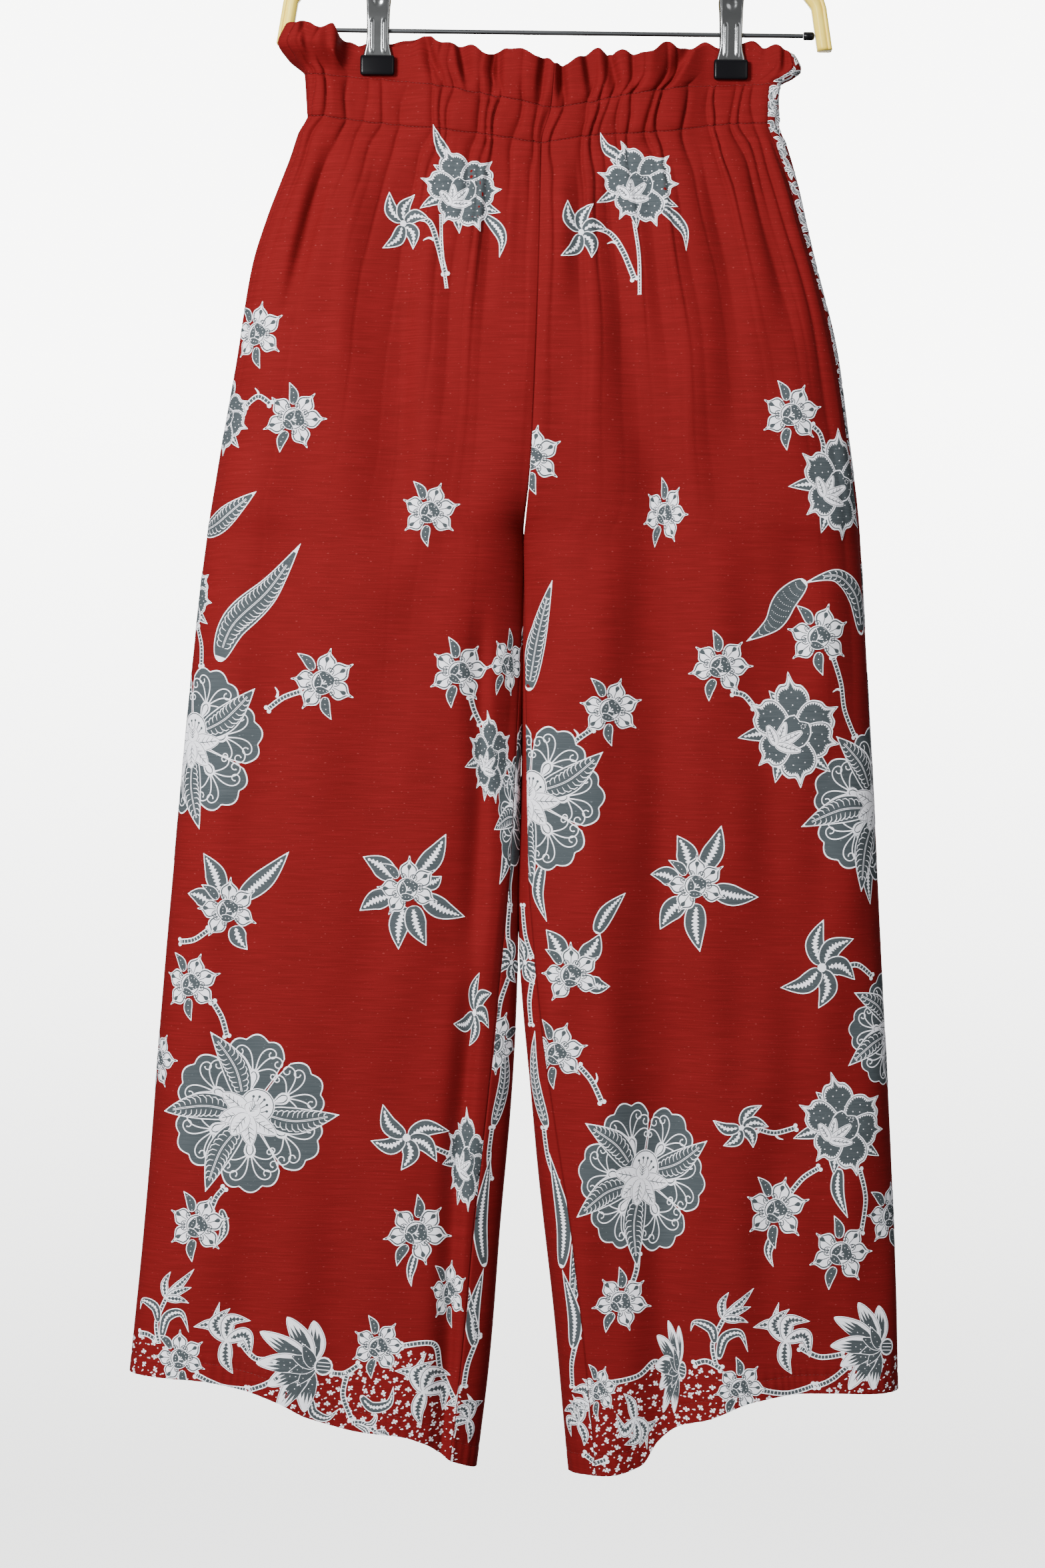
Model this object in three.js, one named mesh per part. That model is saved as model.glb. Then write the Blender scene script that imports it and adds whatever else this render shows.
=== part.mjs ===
// Wide-leg lounge trousers with an elastic paper-bag waist, held by the two clips of a wooden hanger.
// Millimetres, +Z up, the garment's front faces -Y. The origin is where the hanger's hook bears on its rail.
// "Right" and "left" are the wearer's: the right leg lies at negative X.
import * as THREE from "three";

// Cloth
const legWall = 1.2;
const hemWall = 2.4; // the hem is turned up, so two layers
const hemDepth = 15;
const casingWall = 2.6; // two layers and the elastic between them
const ruffleWall = 1.7; // two layers
const seamGap = 0.34;
const ruffleHeight = 33;
const casingHeight = 33;
const crotchLevel = 313; // levels run down the cloth from the casing's lower stitching
const hemLevel = 1003;
const crotchDrop = 386; // drops run down from the hanger's rod
const crotchCurve = 74; // height over which the centre seams round under the body
const edgeRoundness = 1.6; // length of a folded edge's curve over its depth
const faceBulge = 0.22; // how much deeper a face is in its middle than beside its edges
const backStandsUp = 3; // how much higher the back ruffle's edge stands
const endFlop = 25; // how far the ruffle's right end flops forward, past the rod and the hanger's tip
const gathersPerQuarter = 20;
const gatherDepth = 2.1;
const ruffleWaveDepth = 5.2;
const ruffleWavesPerQuarter = 5;

// Hanger
const rodHeight = -180;
const rodRadius = 1.7;
const rodHalf = 191.7;
const capRadius = 3.2;
const capLength = 8.6;
const bowThickness = 12;
const bowTop = -62;
const bowDeep = 28; // the bow's depth in its middle
const tipDrop = 11;
const tipRise = 32; // height of the bow's straight ends
const tipLean = 5;
const tipOuter = 214;
const tipWidth = 11;
const hookWire = 2;
const hookBend = 19;
const clipSpread = 136;
const clipWidth = 17.4;
const clipFoot = 22.4;
const clipAbove = 36; // how far a clip's grip stands above the rod
const clipMetalDrop = 22;
const padWidth = 26.6;
const padTop = 19;
const padBottom = 34.4;
const padWall = 1.6;
const plateWall = 1;
const sleeveRadius = 5;

// Outline from the front, by drop below the rod: the outer edge and the inner edge of each half
const sideEdges = {
  right: [
    { drop: -3, x: -204 }, { drop: 4, x: -208 }, { drop: 14, x: -212 }, { drop: 25, x: -204 },
    { drop: 34, x: -193 }, { drop: 50, x: -191 }, { drop: 66, x: -190 }, { drop: 80, x: -197 },
    { drop: 102, x: -204 }, { drop: 145, x: -220 }, { drop: 183, x: -231 }, { drop: 262, x: -243 },
    { drop: 317, x: -252 }, { drop: 400, x: -264 }, { drop: 490, x: -273 }, { drop: 610, x: -283 },
    { drop: 758, x: -294 }, { drop: 941, x: -306 }, { drop: 1035, x: -314 },
  ],
  left: [
    { drop: 13, x: 183 }, { drop: 20, x: 188 }, { drop: 27, x: 191 }, { drop: 33, x: 184 },
    { drop: 38, x: 175 }, { drop: 52, x: 174 }, { drop: 69, x: 174 }, { drop: 86, x: 180 },
    { drop: 112, x: 188 }, { drop: 154, x: 199 }, { drop: 187, x: 208 }, { drop: 242, x: 221 },
    { drop: 301, x: 230 }, { drop: 364, x: 238 }, { drop: 485, x: 247 }, { drop: 613, x: 255 },
    { drop: 741, x: 263 }, { drop: 888, x: 272 }, { drop: 1041, x: 278 },
  ],
};
const innerEdges = {
  right: [
    { drop: 20, x: 1 }, { drop: 60, x: -2 }, { drop: 88, x: -9 }, { drop: 180, x: -10 },
    { drop: 338, x: -14.5 },
    { drop: 375, x: -18 }, { drop: 386, x: -19.6 }, { drop: 400, x: -20.2 }, { drop: 646, x: -18.8 },
    { drop: 746, x: -21 }, { drop: 848, x: -25 }, { drop: 931, x: -30.5 }, { drop: 1023, x: -38 },
    { drop: 1106, x: -47 },
  ],
  left: [
    { drop: 20, x: 1 }, { drop: 60, x: -2 }, { drop: 88, x: -9 }, { drop: 180, x: -10 },
    { drop: 338, x: -14.5 },
    { drop: 375, x: -17.8 }, { drop: 386, x: -18.8 }, { drop: 400, x: -17.8 }, { drop: 666, x: -16.8 },
    { drop: 756, x: -13 }, { drop: 852, x: -4 }, { drop: 934, x: 5.5 }, { drop: 1029, x: 16.5 },
    { drop: 1107, x: 24 },
  ],
};
// How deep the hollow cloth is, front and back, by level
const depths = [
  { level: -66, front: 15, back: 14 }, { level: -48, front: 13, back: 13 },
  { level: -33, front: 12, back: 12 },
  { level: -12, front: 15, back: 14 }, { level: 0, front: 15, back: 14 },
  { level: 40, front: 23, back: 20 },
  { level: 120, front: 31, back: 27 }, { level: 220, front: 36, back: 32 },
  { level: 330, front: 37, back: 33 },
  { level: 600, front: 33, back: 30 }, { level: 1003, front: 34, back: 29 },
];
// How far a seam lies on the front, in from the edge of the cloth
const inseamTurns = {
  right: [
    { level: 313, in: 0 }, { level: 420, in: 3 }, { level: 666, in: 13 }, { level: 840, in: 20 },
    { level: 1003, in: 19 },
  ],
  left: [
    { level: 313, in: 0 }, { level: 420, in: 3 }, { level: 666, in: 11 }, { level: 840, in: 20 },
    { level: 1003, in: 21 },
  ],
};
const sideTurns = {
  right: [
    { level: -66, in: 0.6 }, { level: 0, in: 0.4 }, { level: 100, in: 0.2 }, { level: 1003, in: 0 },
  ],
  left: [
    { level: -66, in: 3 }, { level: -33, in: 7 }, { level: 0, in: 7 }, { level: 70, in: 5 },
    { level: 140, in: 2.6 },
    { level: 260, in: 0.8 }, { level: 340, in: 0 }, { level: 1003, in: 0 },
  ],
};
// Drops of the cloth's four lines, by share of the way from the centre or inseam to the side
const topLines = {
  right: [
    { share: 0, drop: 27 }, { share: 0.1, drop: 18 }, { share: 0.27, drop: 15 },
    { share: 0.36, drop: 10 },
    { share: 0.49, drop: 4 }, { share: 0.66, drop: 10 }, { share: 0.79, drop: 7 },
    { share: 0.86, drop: -1 }, { share: 1, drop: -3 },
  ],
  left: [
    { share: 0, drop: 27 }, { share: 0.1, drop: 22 }, { share: 0.19, drop: 14 },
    { share: 0.33, drop: 16 },
    { share: 0.47, drop: 8 }, { share: 0.66, drop: 8 }, { share: 0.83, drop: 6 },
    { share: 0.92, drop: 10 }, { share: 1, drop: 15 },
  ],
};
const gatherLines = {
  right: [
    { share: 0, drop: 60 }, { share: 0.18, drop: 53 }, { share: 0.52, drop: 42 },
    { share: 0.7, drop: 38 }, { share: 1, drop: 35 },
  ],
  left: [
    { share: 0, drop: 60 }, { share: 0.15, drop: 56 }, { share: 0.33, drop: 49 },
    { share: 0.71, drop: 40 }, { share: 1, drop: 38 },
  ],
};
const casingLines = {
  right: [
    { share: 0, drop: 88 }, { share: 0.23, drop: 82 }, { share: 0.69, drop: 73 },
    { share: 1, drop: 67 },
  ],
  left: [
    { share: 0, drop: 88 }, { share: 0.2, drop: 82 }, { share: 0.54, drop: 77 },
    { share: 0.8, drop: 70 }, { share: 1, drop: 69 },
  ],
};
const hemLines = {
  right: [
    { share: 0, drop: 1105 }, { share: 0.08, drop: 1095 }, { share: 0.14, drop: 1083 },
    { share: 0.22, drop: 1076 },
    { share: 0.34, drop: 1073 }, { share: 0.48, drop: 1063 }, { share: 0.56, drop: 1052 },
    { share: 0.66, drop: 1043 },
    { share: 0.8, drop: 1036 }, { share: 1, drop: 1034 },
  ],
  left: [
    { share: 0, drop: 1107 }, { share: 0.12, drop: 1105 }, { share: 0.22, drop: 1098 },
    { share: 0.27, drop: 1080 },
    { share: 0.33, drop: 1068 }, { share: 0.42, drop: 1060 }, { share: 0.56, drop: 1046 },
    { share: 0.74, drop: 1040 }, { share: 1, drop: 1041 },
  ],
};
// Largest folds: a soft trough, or a ridge where depth is negative, from one drop and X to another
const folds = [
  { side: "right", face: "front", from: 74, xFrom: -160, to: 250, xTo: -212, width: 9, depth: 7 },
  { side: "right", face: "front", from: 80, xFrom: -137, to: 420, xTo: -146, width: 17, depth: 6 },
  { side: "right", face: "front", from: 84, xFrom: -100, to: 330, xTo: -92, width: 12, depth: -4 },
  { side: "right", face: "front", from: 90, xFrom: -50, to: 240, xTo: -48, width: 7, depth: 4 },
  { side: "right", face: "front", from: 380, xFrom: -215, to: 900, xTo: -250, width: 22, depth: 4 },
  { side: "right", face: "front", from: 430, xFrom: -46, to: 740, xTo: -54, width: 7, depth: 8 },
  { side: "right", face: "front", from: 700, xFrom: -53, to: 1180, xTo: -78, width: 9, depth: 10 },
  { side: "right", face: "front", from: 760, xFrom: -150, to: 1180, xTo: -168, width: 24, depth: 5 },
  { side: "left", face: "front", from: 88, xFrom: 30, to: 380, xTo: 90, width: 14, depth: 6 },
  { side: "left", face: "front", from: 340, xFrom: 88, to: 780, xTo: 106, width: 20, depth: 9 },
  { side: "left", face: "front", from: 720, xFrom: 104, to: 1200, xTo: 92, width: 17, depth: 13 },
  { side: "left", face: "front", from: 82, xFrom: 118, to: 330, xTo: 146, width: 12, depth: 6 },
  { side: "left", face: "front", from: 74, xFrom: 152, to: 240, xTo: 182, width: 8, depth: 5 },
  { side: "left", face: "front", from: 400, xFrom: 30, to: 900, xTo: 52, width: 18, depth: -4 },
  { side: "left", face: "front", from: 800, xFrom: 178, to: 1180, xTo: 196, width: 26, depth: 4 },
  { side: "right", face: "back", from: 80, xFrom: -150, to: 380, xTo: -190, width: 15, depth: 6 },
  { side: "right", face: "back", from: 84, xFrom: -70, to: 330, xTo: -76, width: 14, depth: 5 },
  { side: "right", face: "back", from: 420, xFrom: -120, to: 1180, xTo: -150, width: 24, depth: 9 },
  { side: "right", face: "back", from: 620, xFrom: -225, to: 1180, xTo: -245, width: 22, depth: 6 },
  { side: "left", face: "back", from: 80, xFrom: 128, to: 380, xTo: 160, width: 15, depth: 6 },
  { side: "left", face: "back", from: 84, xFrom: 50, to: 330, xTo: 52, width: 14, depth: 5 },
  { side: "left", face: "back", from: 420, xFrom: 92, to: 1180, xTo: 118, width: 24, depth: 9 },
  { side: "left", face: "back", from: 620, xFrom: 190, to: 1180, xTo: 212, width: 22, depth: 6 },
];
const foldFade = 70;

const clamp = (value, low, high) => Math.min(high, Math.max(low, value));
const mix = (a, b, share) => a + (b - a) * share;
const ease = (from, to, value) => {
  const t = clamp((value - from) / (to - from), 0, 1);
  return t * t * (3 - 2 * t);
};
const uneven = (index) => {
  const wave = Math.sin(index * 12.9898) * 43758.5453;
  return wave - Math.floor(wave);
};

// A column of a table at a place between its rows, on a smooth curve through them
function readTable(rows, key, column, at) {
  const last = rows.length - 1;
  if (at <= rows[0][key]) return rows[0][column];
  if (at >= rows[last][key]) return rows[last][column];
  let i = 0;
  while (rows[i + 1][key] < at) i++;
  const slope = (a, b) => (rows[b][column] - rows[a][column]) / (rows[b][key] - rows[a][key]);
  const step = rows[i + 1][key] - rows[i][key];
  const here = slope(i, i + 1);
  const before = i > 0 ? slope(i - 1, i) : here;
  const after = i + 1 < last ? slope(i + 1, i + 2) : here;
  // A harmonic mean keeps the curve from overshooting its rows
  const tangent = (a, b) => (a * b > 0 ? (2 * a * b) / (a + b) : 0);
  const t = (at - rows[i][key]) / step;
  const startTangent = tangent(before, here);
  const endTangent = tangent(here, after);
  const t2 = t * t;
  const t3 = t2 * t;
  return (
    (2 * t3 - 3 * t2 + 1) * rows[i][column] +
    (t3 - 2 * t2 + t) * step * startTangent +
    (3 * t2 - 2 * t3) * rows[i + 1][column] +
    (t3 - t2) * step * endTangent
  );
}

const lineDrop = (lines, side, share) => readTable(lines[side], "share", "drop", share);

// The drop of a point of the cloth, from its level and its share of the way to the side
function dropAt(side, level, share, face) {
  const casing = lineDrop(casingLines, side, share);
  const gathered = lineDrop(gatherLines, side, share);
  if (level < -casingHeight) {
    const higher = face === "back" ? backStandsUp * Math.sin(Math.PI * share) ** 2 : 0;
    const top = lineDrop(topLines, side, share) - higher;
    return mix(gathered, top, (-casingHeight - level) / ruffleHeight);
  }
  if (level < 0) return mix(casing, gathered, -level / casingHeight);
  if (level < crotchLevel) return mix(casing, crotchDrop, level / crotchLevel);
  return mix(crotchDrop, lineDrop(hemLines, side, share), (level - crotchLevel) / (hemLevel - crotchLevel));
}

// 1 where the cloth hangs freely, 0 where a clip presses front and back together
function freedom(x, level) {
  const away = Math.min(Math.abs(x - clipSpread), Math.abs(x + clipSpread));
  const across = 1 - ease(14.5, 46, away);
  const down = mix(1, 0.72, ease(-36, -casingHeight, level)) * (1 - ease(-casingHeight, 34, level));
  return 1 - across * down;
}

// How far the centre seams have opened above the crotch: 0 at the crotch and below, 1 where they hang clear
function seamRise(level) {
  const up = clamp((crotchLevel - level) / crotchCurve, 0, 1);
  return Math.sqrt(1 - (1 - up) * (1 - up));
}

// One half of the garment cut across at a level: a loop from its inner edge, along the front and back again
const sections = new Map();
function sectionAt(side, level) {
  const key = side + level.toFixed(3);
  if (sections.has(key)) return sections.get(key);
  const inner = readTable(innerEdges[side], "drop", "x", dropAt(side, level, 0));
  const outer = readTable(sideEdges[side], "drop", "x", dropAt(side, level, 1));
  const away = side === "left" ? 1 : -1;
  const apart = level < crotchLevel ? (seamGap / 2) * away : 0;
  const middle = (inner + apart + outer) / 2;
  const half = (outer - inner - apart) / 2;
  const rise = seamRise(level);
  const closing = Math.sqrt(1 - rise * rise);
  const points = [];
  const steps = 72;
  for (const face of ["front", "back"]) {
    const depth = readTable(depths, "level", face, level) * (1 - faceBulge);
    const flat = 1 - clamp((depth * edgeRoundness) / Math.abs(half), 0, 0.8);
    for (let i = face === "front" ? 0 : 1; i <= steps; i++) {
      const angle = (Math.PI * (face === "front" ? i : steps - i)) / steps;
      const across = Math.cos(angle); // 1 at the inner edge, -1 at the side
      const beyond = clamp((Math.abs(across) - flat) / (1 - flat), 0, 1) * (across > 0 ? closing : 1);
      const x = middle - half * across;
      const spread = mix(across, (1 - across) / 2, rise);
      const bulge = 1 + (faceBulge / (1 - faceBulge)) * (1 - spread * spread);
      const free = freedom(x, level);
      const hang = depth * Math.sqrt(1 - beyond * beyond) * bulge;
      const y = hang * free + (ruffleWall + seamGap / 2) * (1 - free);
      const flop = side === "right" ? endFlop * ease(-36, -54, level) * ease(-152, -178, x) : 0;
      const onFront = face === "front";
      const share = (x - inner) / (outer - inner);
      const cover = Math.sqrt(1 - beyond * beyond);
      points.push({ x, y: onFront ? -y : y, flop, onFront, share, free, cover });
    }
  }
  points[0].arc = 0;
  for (let i = 1; i < points.length; i++) {
    const [before, here] = [points[i - 1], points[i]];
    here.arc = before.arc + Math.hypot(here.x - before.x, here.y - before.y);
  }
  const front = points.slice(0, steps + 1);
  const section = { points, length: points[2 * steps].arc, frontLength: front[steps].arc, rise, away };
  // A seam's place on the loop: where the front has come in from an edge by that much
  const arcWhere = (list, inFrom) => {
    const i = list.findIndex((p, j) => j > 0 && inFrom(list[j]) >= 0);
    const a = list[i - 1];
    const b = list[i];
    return mix(a.arc, b.arc, clamp(-inFrom(a) / (inFrom(b) - inFrom(a) || 1), 0, 1));
  };
  const inseam = readTable(inseamTurns[side], "level", "in", level);
  const sideSeam = readTable(sideTurns[side], "level", "in", level);
  section.inseamArc = 0;
  section.sideArc = section.frontLength;
  if (inseam > 0) section.inseamArc = arcWhere(front, (p) => Math.abs(p.x - front[0].x) - inseam);
  if (sideSeam > 0)
    section.sideArc = arcWhere([...front].reverse(), (p) => Math.abs(p.x - front[steps].x) - sideSeam);
  sections.set(key, section);
  return section;
}

// The point, outward normal and share at a distance along a section's loop
function onSection(section, arc) {
  const { points, length } = section;
  const at = arc > length ? arc - length : Math.max(0, arc);
  let low = 0;
  let high = points.length - 1;
  while (high - low > 1) {
    const mid = (low + high) >> 1;
    if (points[mid].arc <= at) low = mid;
    else high = mid;
  }
  const a = points[low];
  const b = points[high];
  const t = (at - a.arc) / (b.arc - a.arc || 1);
  const acrossX = b.x - a.x;
  const acrossY = b.y - b.flop - a.y + a.flop;
  const toNormal = section.away / (Math.hypot(acrossX, acrossY) || 1);
  return {
    x: mix(a.x, b.x, t),
    y: mix(a.y - a.flop, b.y - b.flop, t),
    normalX: acrossY * toNormal,
    normalY: -acrossX * toNormal,
    share: mix(a.share, b.share, t),
    onFront: t < 0.5 ? a.onFront : b.onFront,
    free: mix(a.free, b.free, t),
    cover: mix(a.cover, b.cover, t),
  };
}

function foldDepth(side, face, x, drop) {
  let sum = 0;
  for (const fold of folds) {
    if (fold.side !== side || fold.face !== face) continue;
    if (drop < fold.from || drop > fold.to) continue;
    const along = (drop - fold.from) / (fold.to - fold.from);
    const away = (x - mix(fold.xFrom, fold.xTo, along)) / fold.width;
    const fade = ease(fold.from, fold.from + foldFade, drop) * (1 - ease(fold.to - foldFade, fold.to, drop));
    sum += fold.depth * Math.exp(-away * away) * fade;
  }
  return sum;
}

// How far the gathers and ruffle waves push the cloth out, at a share of a panel's width
function gatherLift(face, side, along, level) {
  const column = along * gathersPerQuarter * 2;
  const index = Math.round(column);
  const ridge = index % 2 === 0 ? 1 : -1;
  const strength = 0.55 + 0.45 * uneven(index + (face === "back" ? 61 : 0) + (side === "left" ? 131 : 0));
  const gathers = ridge * strength * gatherDepth;
  const inBody = 1 - ease(18, 190, level);
  const inRuffle = ease(-casingHeight - ruffleHeight * 0.55, -casingHeight, level);
  const drift = 0.9 * Math.sin(along * 7 + (side === "left" ? 2 : 0)) + (face === "back" ? 1.3 : 0);
  const wave = Math.sin(2 * Math.PI * ruffleWavesPerQuarter * along + drift);
  const waves = wave * ruffleWaveDepth * ease(-casingHeight, -casingHeight - ruffleHeight, level);
  return gathers * inBody * inRuffle + waves;
}

// A point of a panel: along runs from 0 at the centre or inseam to 1 at the side, and inward is how far
// inside the outer face it lies
function clothPoint(side, face, along, level, inward) {
  const section = sectionAt(side, level);
  const innerGap = (seamGap / 2) * (1 - section.rise);
  const home = section.length + section.inseamArc;
  const from = face === "front" ? section.inseamArc + innerGap : home - innerGap;
  const to = face === "front" ? section.sideArc - seamGap / 2 : section.sideArc + seamGap / 2;
  const at = onSection(section, mix(from, to, along));
  const drop = dropAt(side, level, clamp(at.share, 0, 1), face);
  const edge = Math.min(1, along / 0.04, (1 - along) / 0.04);
  const lift = gatherLift(face, side, along, level) * edge * at.free * at.free;
  const trough = foldDepth(side, at.onFront ? "front" : "back", at.x, drop) * at.cover * at.free;
  const out = lift - inward;
  return new THREE.Vector3(
    at.x + at.normalX * out,
    at.y + at.normalY * out + (at.onFront ? trough : -trough),
    rodHeight - drop,
  );
}

// A closed wall between an outer and an inner face of the same panel, with a rim round its four sides
function clothWall(side, face, levels, wallAt, columns = gathersPerQuarter * 2) {
  const positions = [];
  for (const inner of [false, true])
    for (const level of levels)
      for (let i = 0; i <= columns; i++) {
        const p = clothPoint(side, face, i / columns, level, inner ? wallAt(level) : 0);
        positions.push(p.x, p.y, p.z);
      }
  const rows = levels.length;
  const vertex = (inner, row, column) => ((inner ? rows : 0) + row) * (columns + 1) + column;
  const index = [];
  const quad = (a, b, c, d) => index.push(a, b, c, a, c, d);
  for (let r = 0; r < rows - 1; r++)
    for (let i = 0; i < columns; i++) {
      quad(vertex(0, r, i), vertex(0, r + 1, i), vertex(0, r + 1, i + 1), vertex(0, r, i + 1));
      quad(vertex(1, r, i), vertex(1, r, i + 1), vertex(1, r + 1, i + 1), vertex(1, r + 1, i));
    }
  for (let i = 0; i < columns; i++) {
    quad(vertex(0, 0, i), vertex(0, 0, i + 1), vertex(1, 0, i + 1), vertex(1, 0, i));
    const last = rows - 1;
    quad(vertex(0, last, i), vertex(1, last, i), vertex(1, last, i + 1), vertex(0, last, i + 1));
  }
  for (let r = 0; r < rows - 1; r++) {
    quad(vertex(0, r, 0), vertex(1, r, 0), vertex(1, r + 1, 0), vertex(0, r + 1, 0));
    quad(vertex(0, r, columns), vertex(0, r + 1, columns), vertex(1, r + 1, columns), vertex(1, r, columns));
  }
  const geometry = new THREE.BufferGeometry();
  geometry.setAttribute("position", new THREE.Float32BufferAttribute(positions, 3));
  geometry.setIndex(facesOut(positions, index));
  geometry.computeVertexNormals();
  return geometry;
}

// Turns every triangle round if the closed mesh is inside out
function facesOut(positions, index) {
  let volume = 0;
  const corner = (i) => new THREE.Vector3().fromArray(positions, i * 3);
  for (let i = 0; i < index.length; i += 3)
    volume += corner(index[i]).dot(corner(index[i + 1]).cross(corner(index[i + 2])));
  if (volume > 0) return index;
  for (let i = 0; i < index.length; i += 3) [index[i + 1], index[i + 2]] = [index[i + 2], index[i + 1]];
  return index;
}

const materials = {
  cloth: new THREE.MeshStandardMaterial({ color: 0x8f1519, roughness: 0.85, side: THREE.DoubleSide }),
  wood: new THREE.MeshStandardMaterial({ color: 0xe3c48a, roughness: 0.55 }),
  steel: new THREE.MeshStandardMaterial({ color: 0xc4c6c9, roughness: 0.18, metalness: 1 }),
  black: new THREE.MeshStandardMaterial({ color: 0x0b0c0e, roughness: 0.35 }),
};

const trousers = new THREE.Group();
function addPiece(name, geometry, material, x = 0, y = 0, z = 0) {
  const mesh = new THREE.Mesh(geometry, material);
  mesh.name = name;
  mesh.position.set(x, y, z);
  trousers.add(mesh);
  return mesh;
}

const half = seamGap / 2;
const ruffleLevels = [-66, -56, -46, -36.5, -casingHeight - half];
const casingLevels = [-casingHeight + half, -16.5, -half];
const hemTop = hemLevel - hemDepth;
const legLevels = [half, 24, 70, 150, 240, 287, crotchLevel, 380, 520, 680, 830, 955, hemTop, hemLevel];
const strips = [
  { part: "leg", levels: legLevels, wallAt: (level) => (level >= hemTop ? hemWall : legWall) },
  { part: "casing", levels: casingLevels, wallAt: () => casingWall },
  { part: "ruffle", levels: ruffleLevels, wallAt: () => ruffleWall },
];
for (const side of ["right", "left"])
  for (const face of ["front", "back"])
    for (const { part, levels, wallAt } of strips)
      addPiece(`${side}_${face}_${part}`, clothWall(side, face, levels, wallAt), materials.cloth);

// The wooden bow, cut from a board: its outline from above the middle down to the two upright tips
function bowGeometry() {
  const tip = rodHeight - tipDrop;
  const straightTop = tip + tipRise;
  const outer = tipOuter - tipLean;
  const inner = outer - tipWidth;
  const under = bowTop - bowDeep;
  const outline = new THREE.Shape();
  outline.moveTo(0, bowTop);
  outline.bezierCurveTo(26, bowTop, 34, bowTop - 4, 62, bowTop - 9);
  outline.bezierCurveTo(130, bowTop - 22, outer - 12, bowTop - 52, outer, straightTop);
  outline.lineTo(tipOuter, tip);
  outline.lineTo(tipOuter - tipWidth, tip);
  outline.lineTo(inner, straightTop);
  outline.bezierCurveTo(inner - 20, under - 38, 118, under - 16, 62, under - 5);
  outline.bezierCurveTo(34, under, -34, under, -62, under - 5);
  outline.bezierCurveTo(-118, under - 16, 20 - inner, under - 38, -inner, straightTop);
  outline.lineTo(tipWidth - tipOuter, tip);
  outline.lineTo(-tipOuter, tip);
  outline.lineTo(-outer, straightTop);
  outline.bezierCurveTo(12 - outer, bowTop - 52, -130, bowTop - 22, -62, bowTop - 9);
  outline.bezierCurveTo(-34, bowTop - 4, -26, bowTop, 0, bowTop);
  const board = { depth: bowThickness, bevelEnabled: false, curveSegments: 10 };
  const geometry = new THREE.ExtrudeGeometry(outline, board);
  geometry.translate(0, 0, -bowThickness / 2);
  geometry.rotateX(Math.PI / 2);
  return geometry;
}

// The steel wire hook: a bend that hangs on the rail and a stem down to the bow
function hookGeometry() {
  const path = new THREE.CurvePath();
  const centre = -hookBend;
  const stemTop = centre - hookBend - 4;
  const bend = hookBend - hookWire;
  const points = [];
  const stand = (x, z) => points.push(new THREE.Vector3(x, 0, z));
  for (let degrees = 215; degrees >= -62; degrees -= 18) {
    const angle = (degrees * Math.PI) / 180;
    stand(bend * Math.cos(angle), centre + bend * Math.sin(angle) + hookWire * 2);
  }
  stand(2, stemTop + 3);
  stand(0, stemTop - 4);
  stand(0, bowTop + seamGap);
  path.add(new THREE.CatmullRomCurve3(points, false, "centripetal"));
  const ring = new THREE.Shape().absarc(0, 0, hookWire, 0, 2 * Math.PI);
  return new THREE.ExtrudeGeometry(ring, { steps: 30, curveSegments: 4, extrudePath: path.curves[0] });
}

// One sprung plate of a clip: flat at its foot, standing off round the rod and flaring to the grip
function plateGeometry(face) {
  const out = face === "front" ? -1 : 1;
  const clothHalf = ruffleWall + seamGap / 2;
  const foot = clothHalf + seamGap + padWall + seamGap;
  const rows = [
    { drop: clipMetalDrop + 10, y: foot, width: clipFoot },
    { drop: clipMetalDrop, y: foot, width: clipFoot },
    { drop: clipMetalDrop - 8, y: foot + 0.6, width: clipWidth + 1.6 },
    { drop: 6, y: sleeveRadius + seamGap, width: clipWidth },
    { drop: -6, y: sleeveRadius + seamGap, width: clipWidth - 0.6 },
    { drop: -18, y: 8.2, width: clipWidth },
    { drop: -clipAbove + 6, y: 11.4, width: clipWidth + 1 },
    { drop: -clipAbove, y: 12.6, width: clipWidth - 6 },
  ];
  const positions = [];
  for (const deep of [0, plateWall])
    for (const row of rows)
      for (const edge of [-1, 1])
        positions.push((edge * row.width) / 2, out * (row.y + deep), rodHeight - row.drop);
  const count = rows.length;
  const vertex = (layer, row, edge) => (layer * count + row) * 2 + edge;
  const index = [];
  const quad = (a, b, c, d) => index.push(a, b, c, a, c, d);
  for (let r = 0; r < count - 1; r++) {
    quad(vertex(0, r, 0), vertex(0, r + 1, 0), vertex(0, r + 1, 1), vertex(0, r, 1));
    quad(vertex(1, r, 0), vertex(1, r, 1), vertex(1, r + 1, 1), vertex(1, r + 1, 0));
    quad(vertex(0, r, 0), vertex(1, r, 0), vertex(1, r + 1, 0), vertex(0, r + 1, 0));
    quad(vertex(0, r, 1), vertex(0, r + 1, 1), vertex(1, r + 1, 1), vertex(1, r, 1));
  }
  quad(vertex(0, 0, 0), vertex(0, 0, 1), vertex(1, 0, 1), vertex(1, 0, 0));
  quad(vertex(0, count - 1, 0), vertex(1, count - 1, 0), vertex(1, count - 1, 1), vertex(0, count - 1, 1));
  const geometry = new THREE.BufferGeometry();
  geometry.setAttribute("position", new THREE.Float32BufferAttribute(positions, 3));
  geometry.setIndex(facesOut(positions, index));
  geometry.computeVertexNormals();
  return geometry;
}

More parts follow.
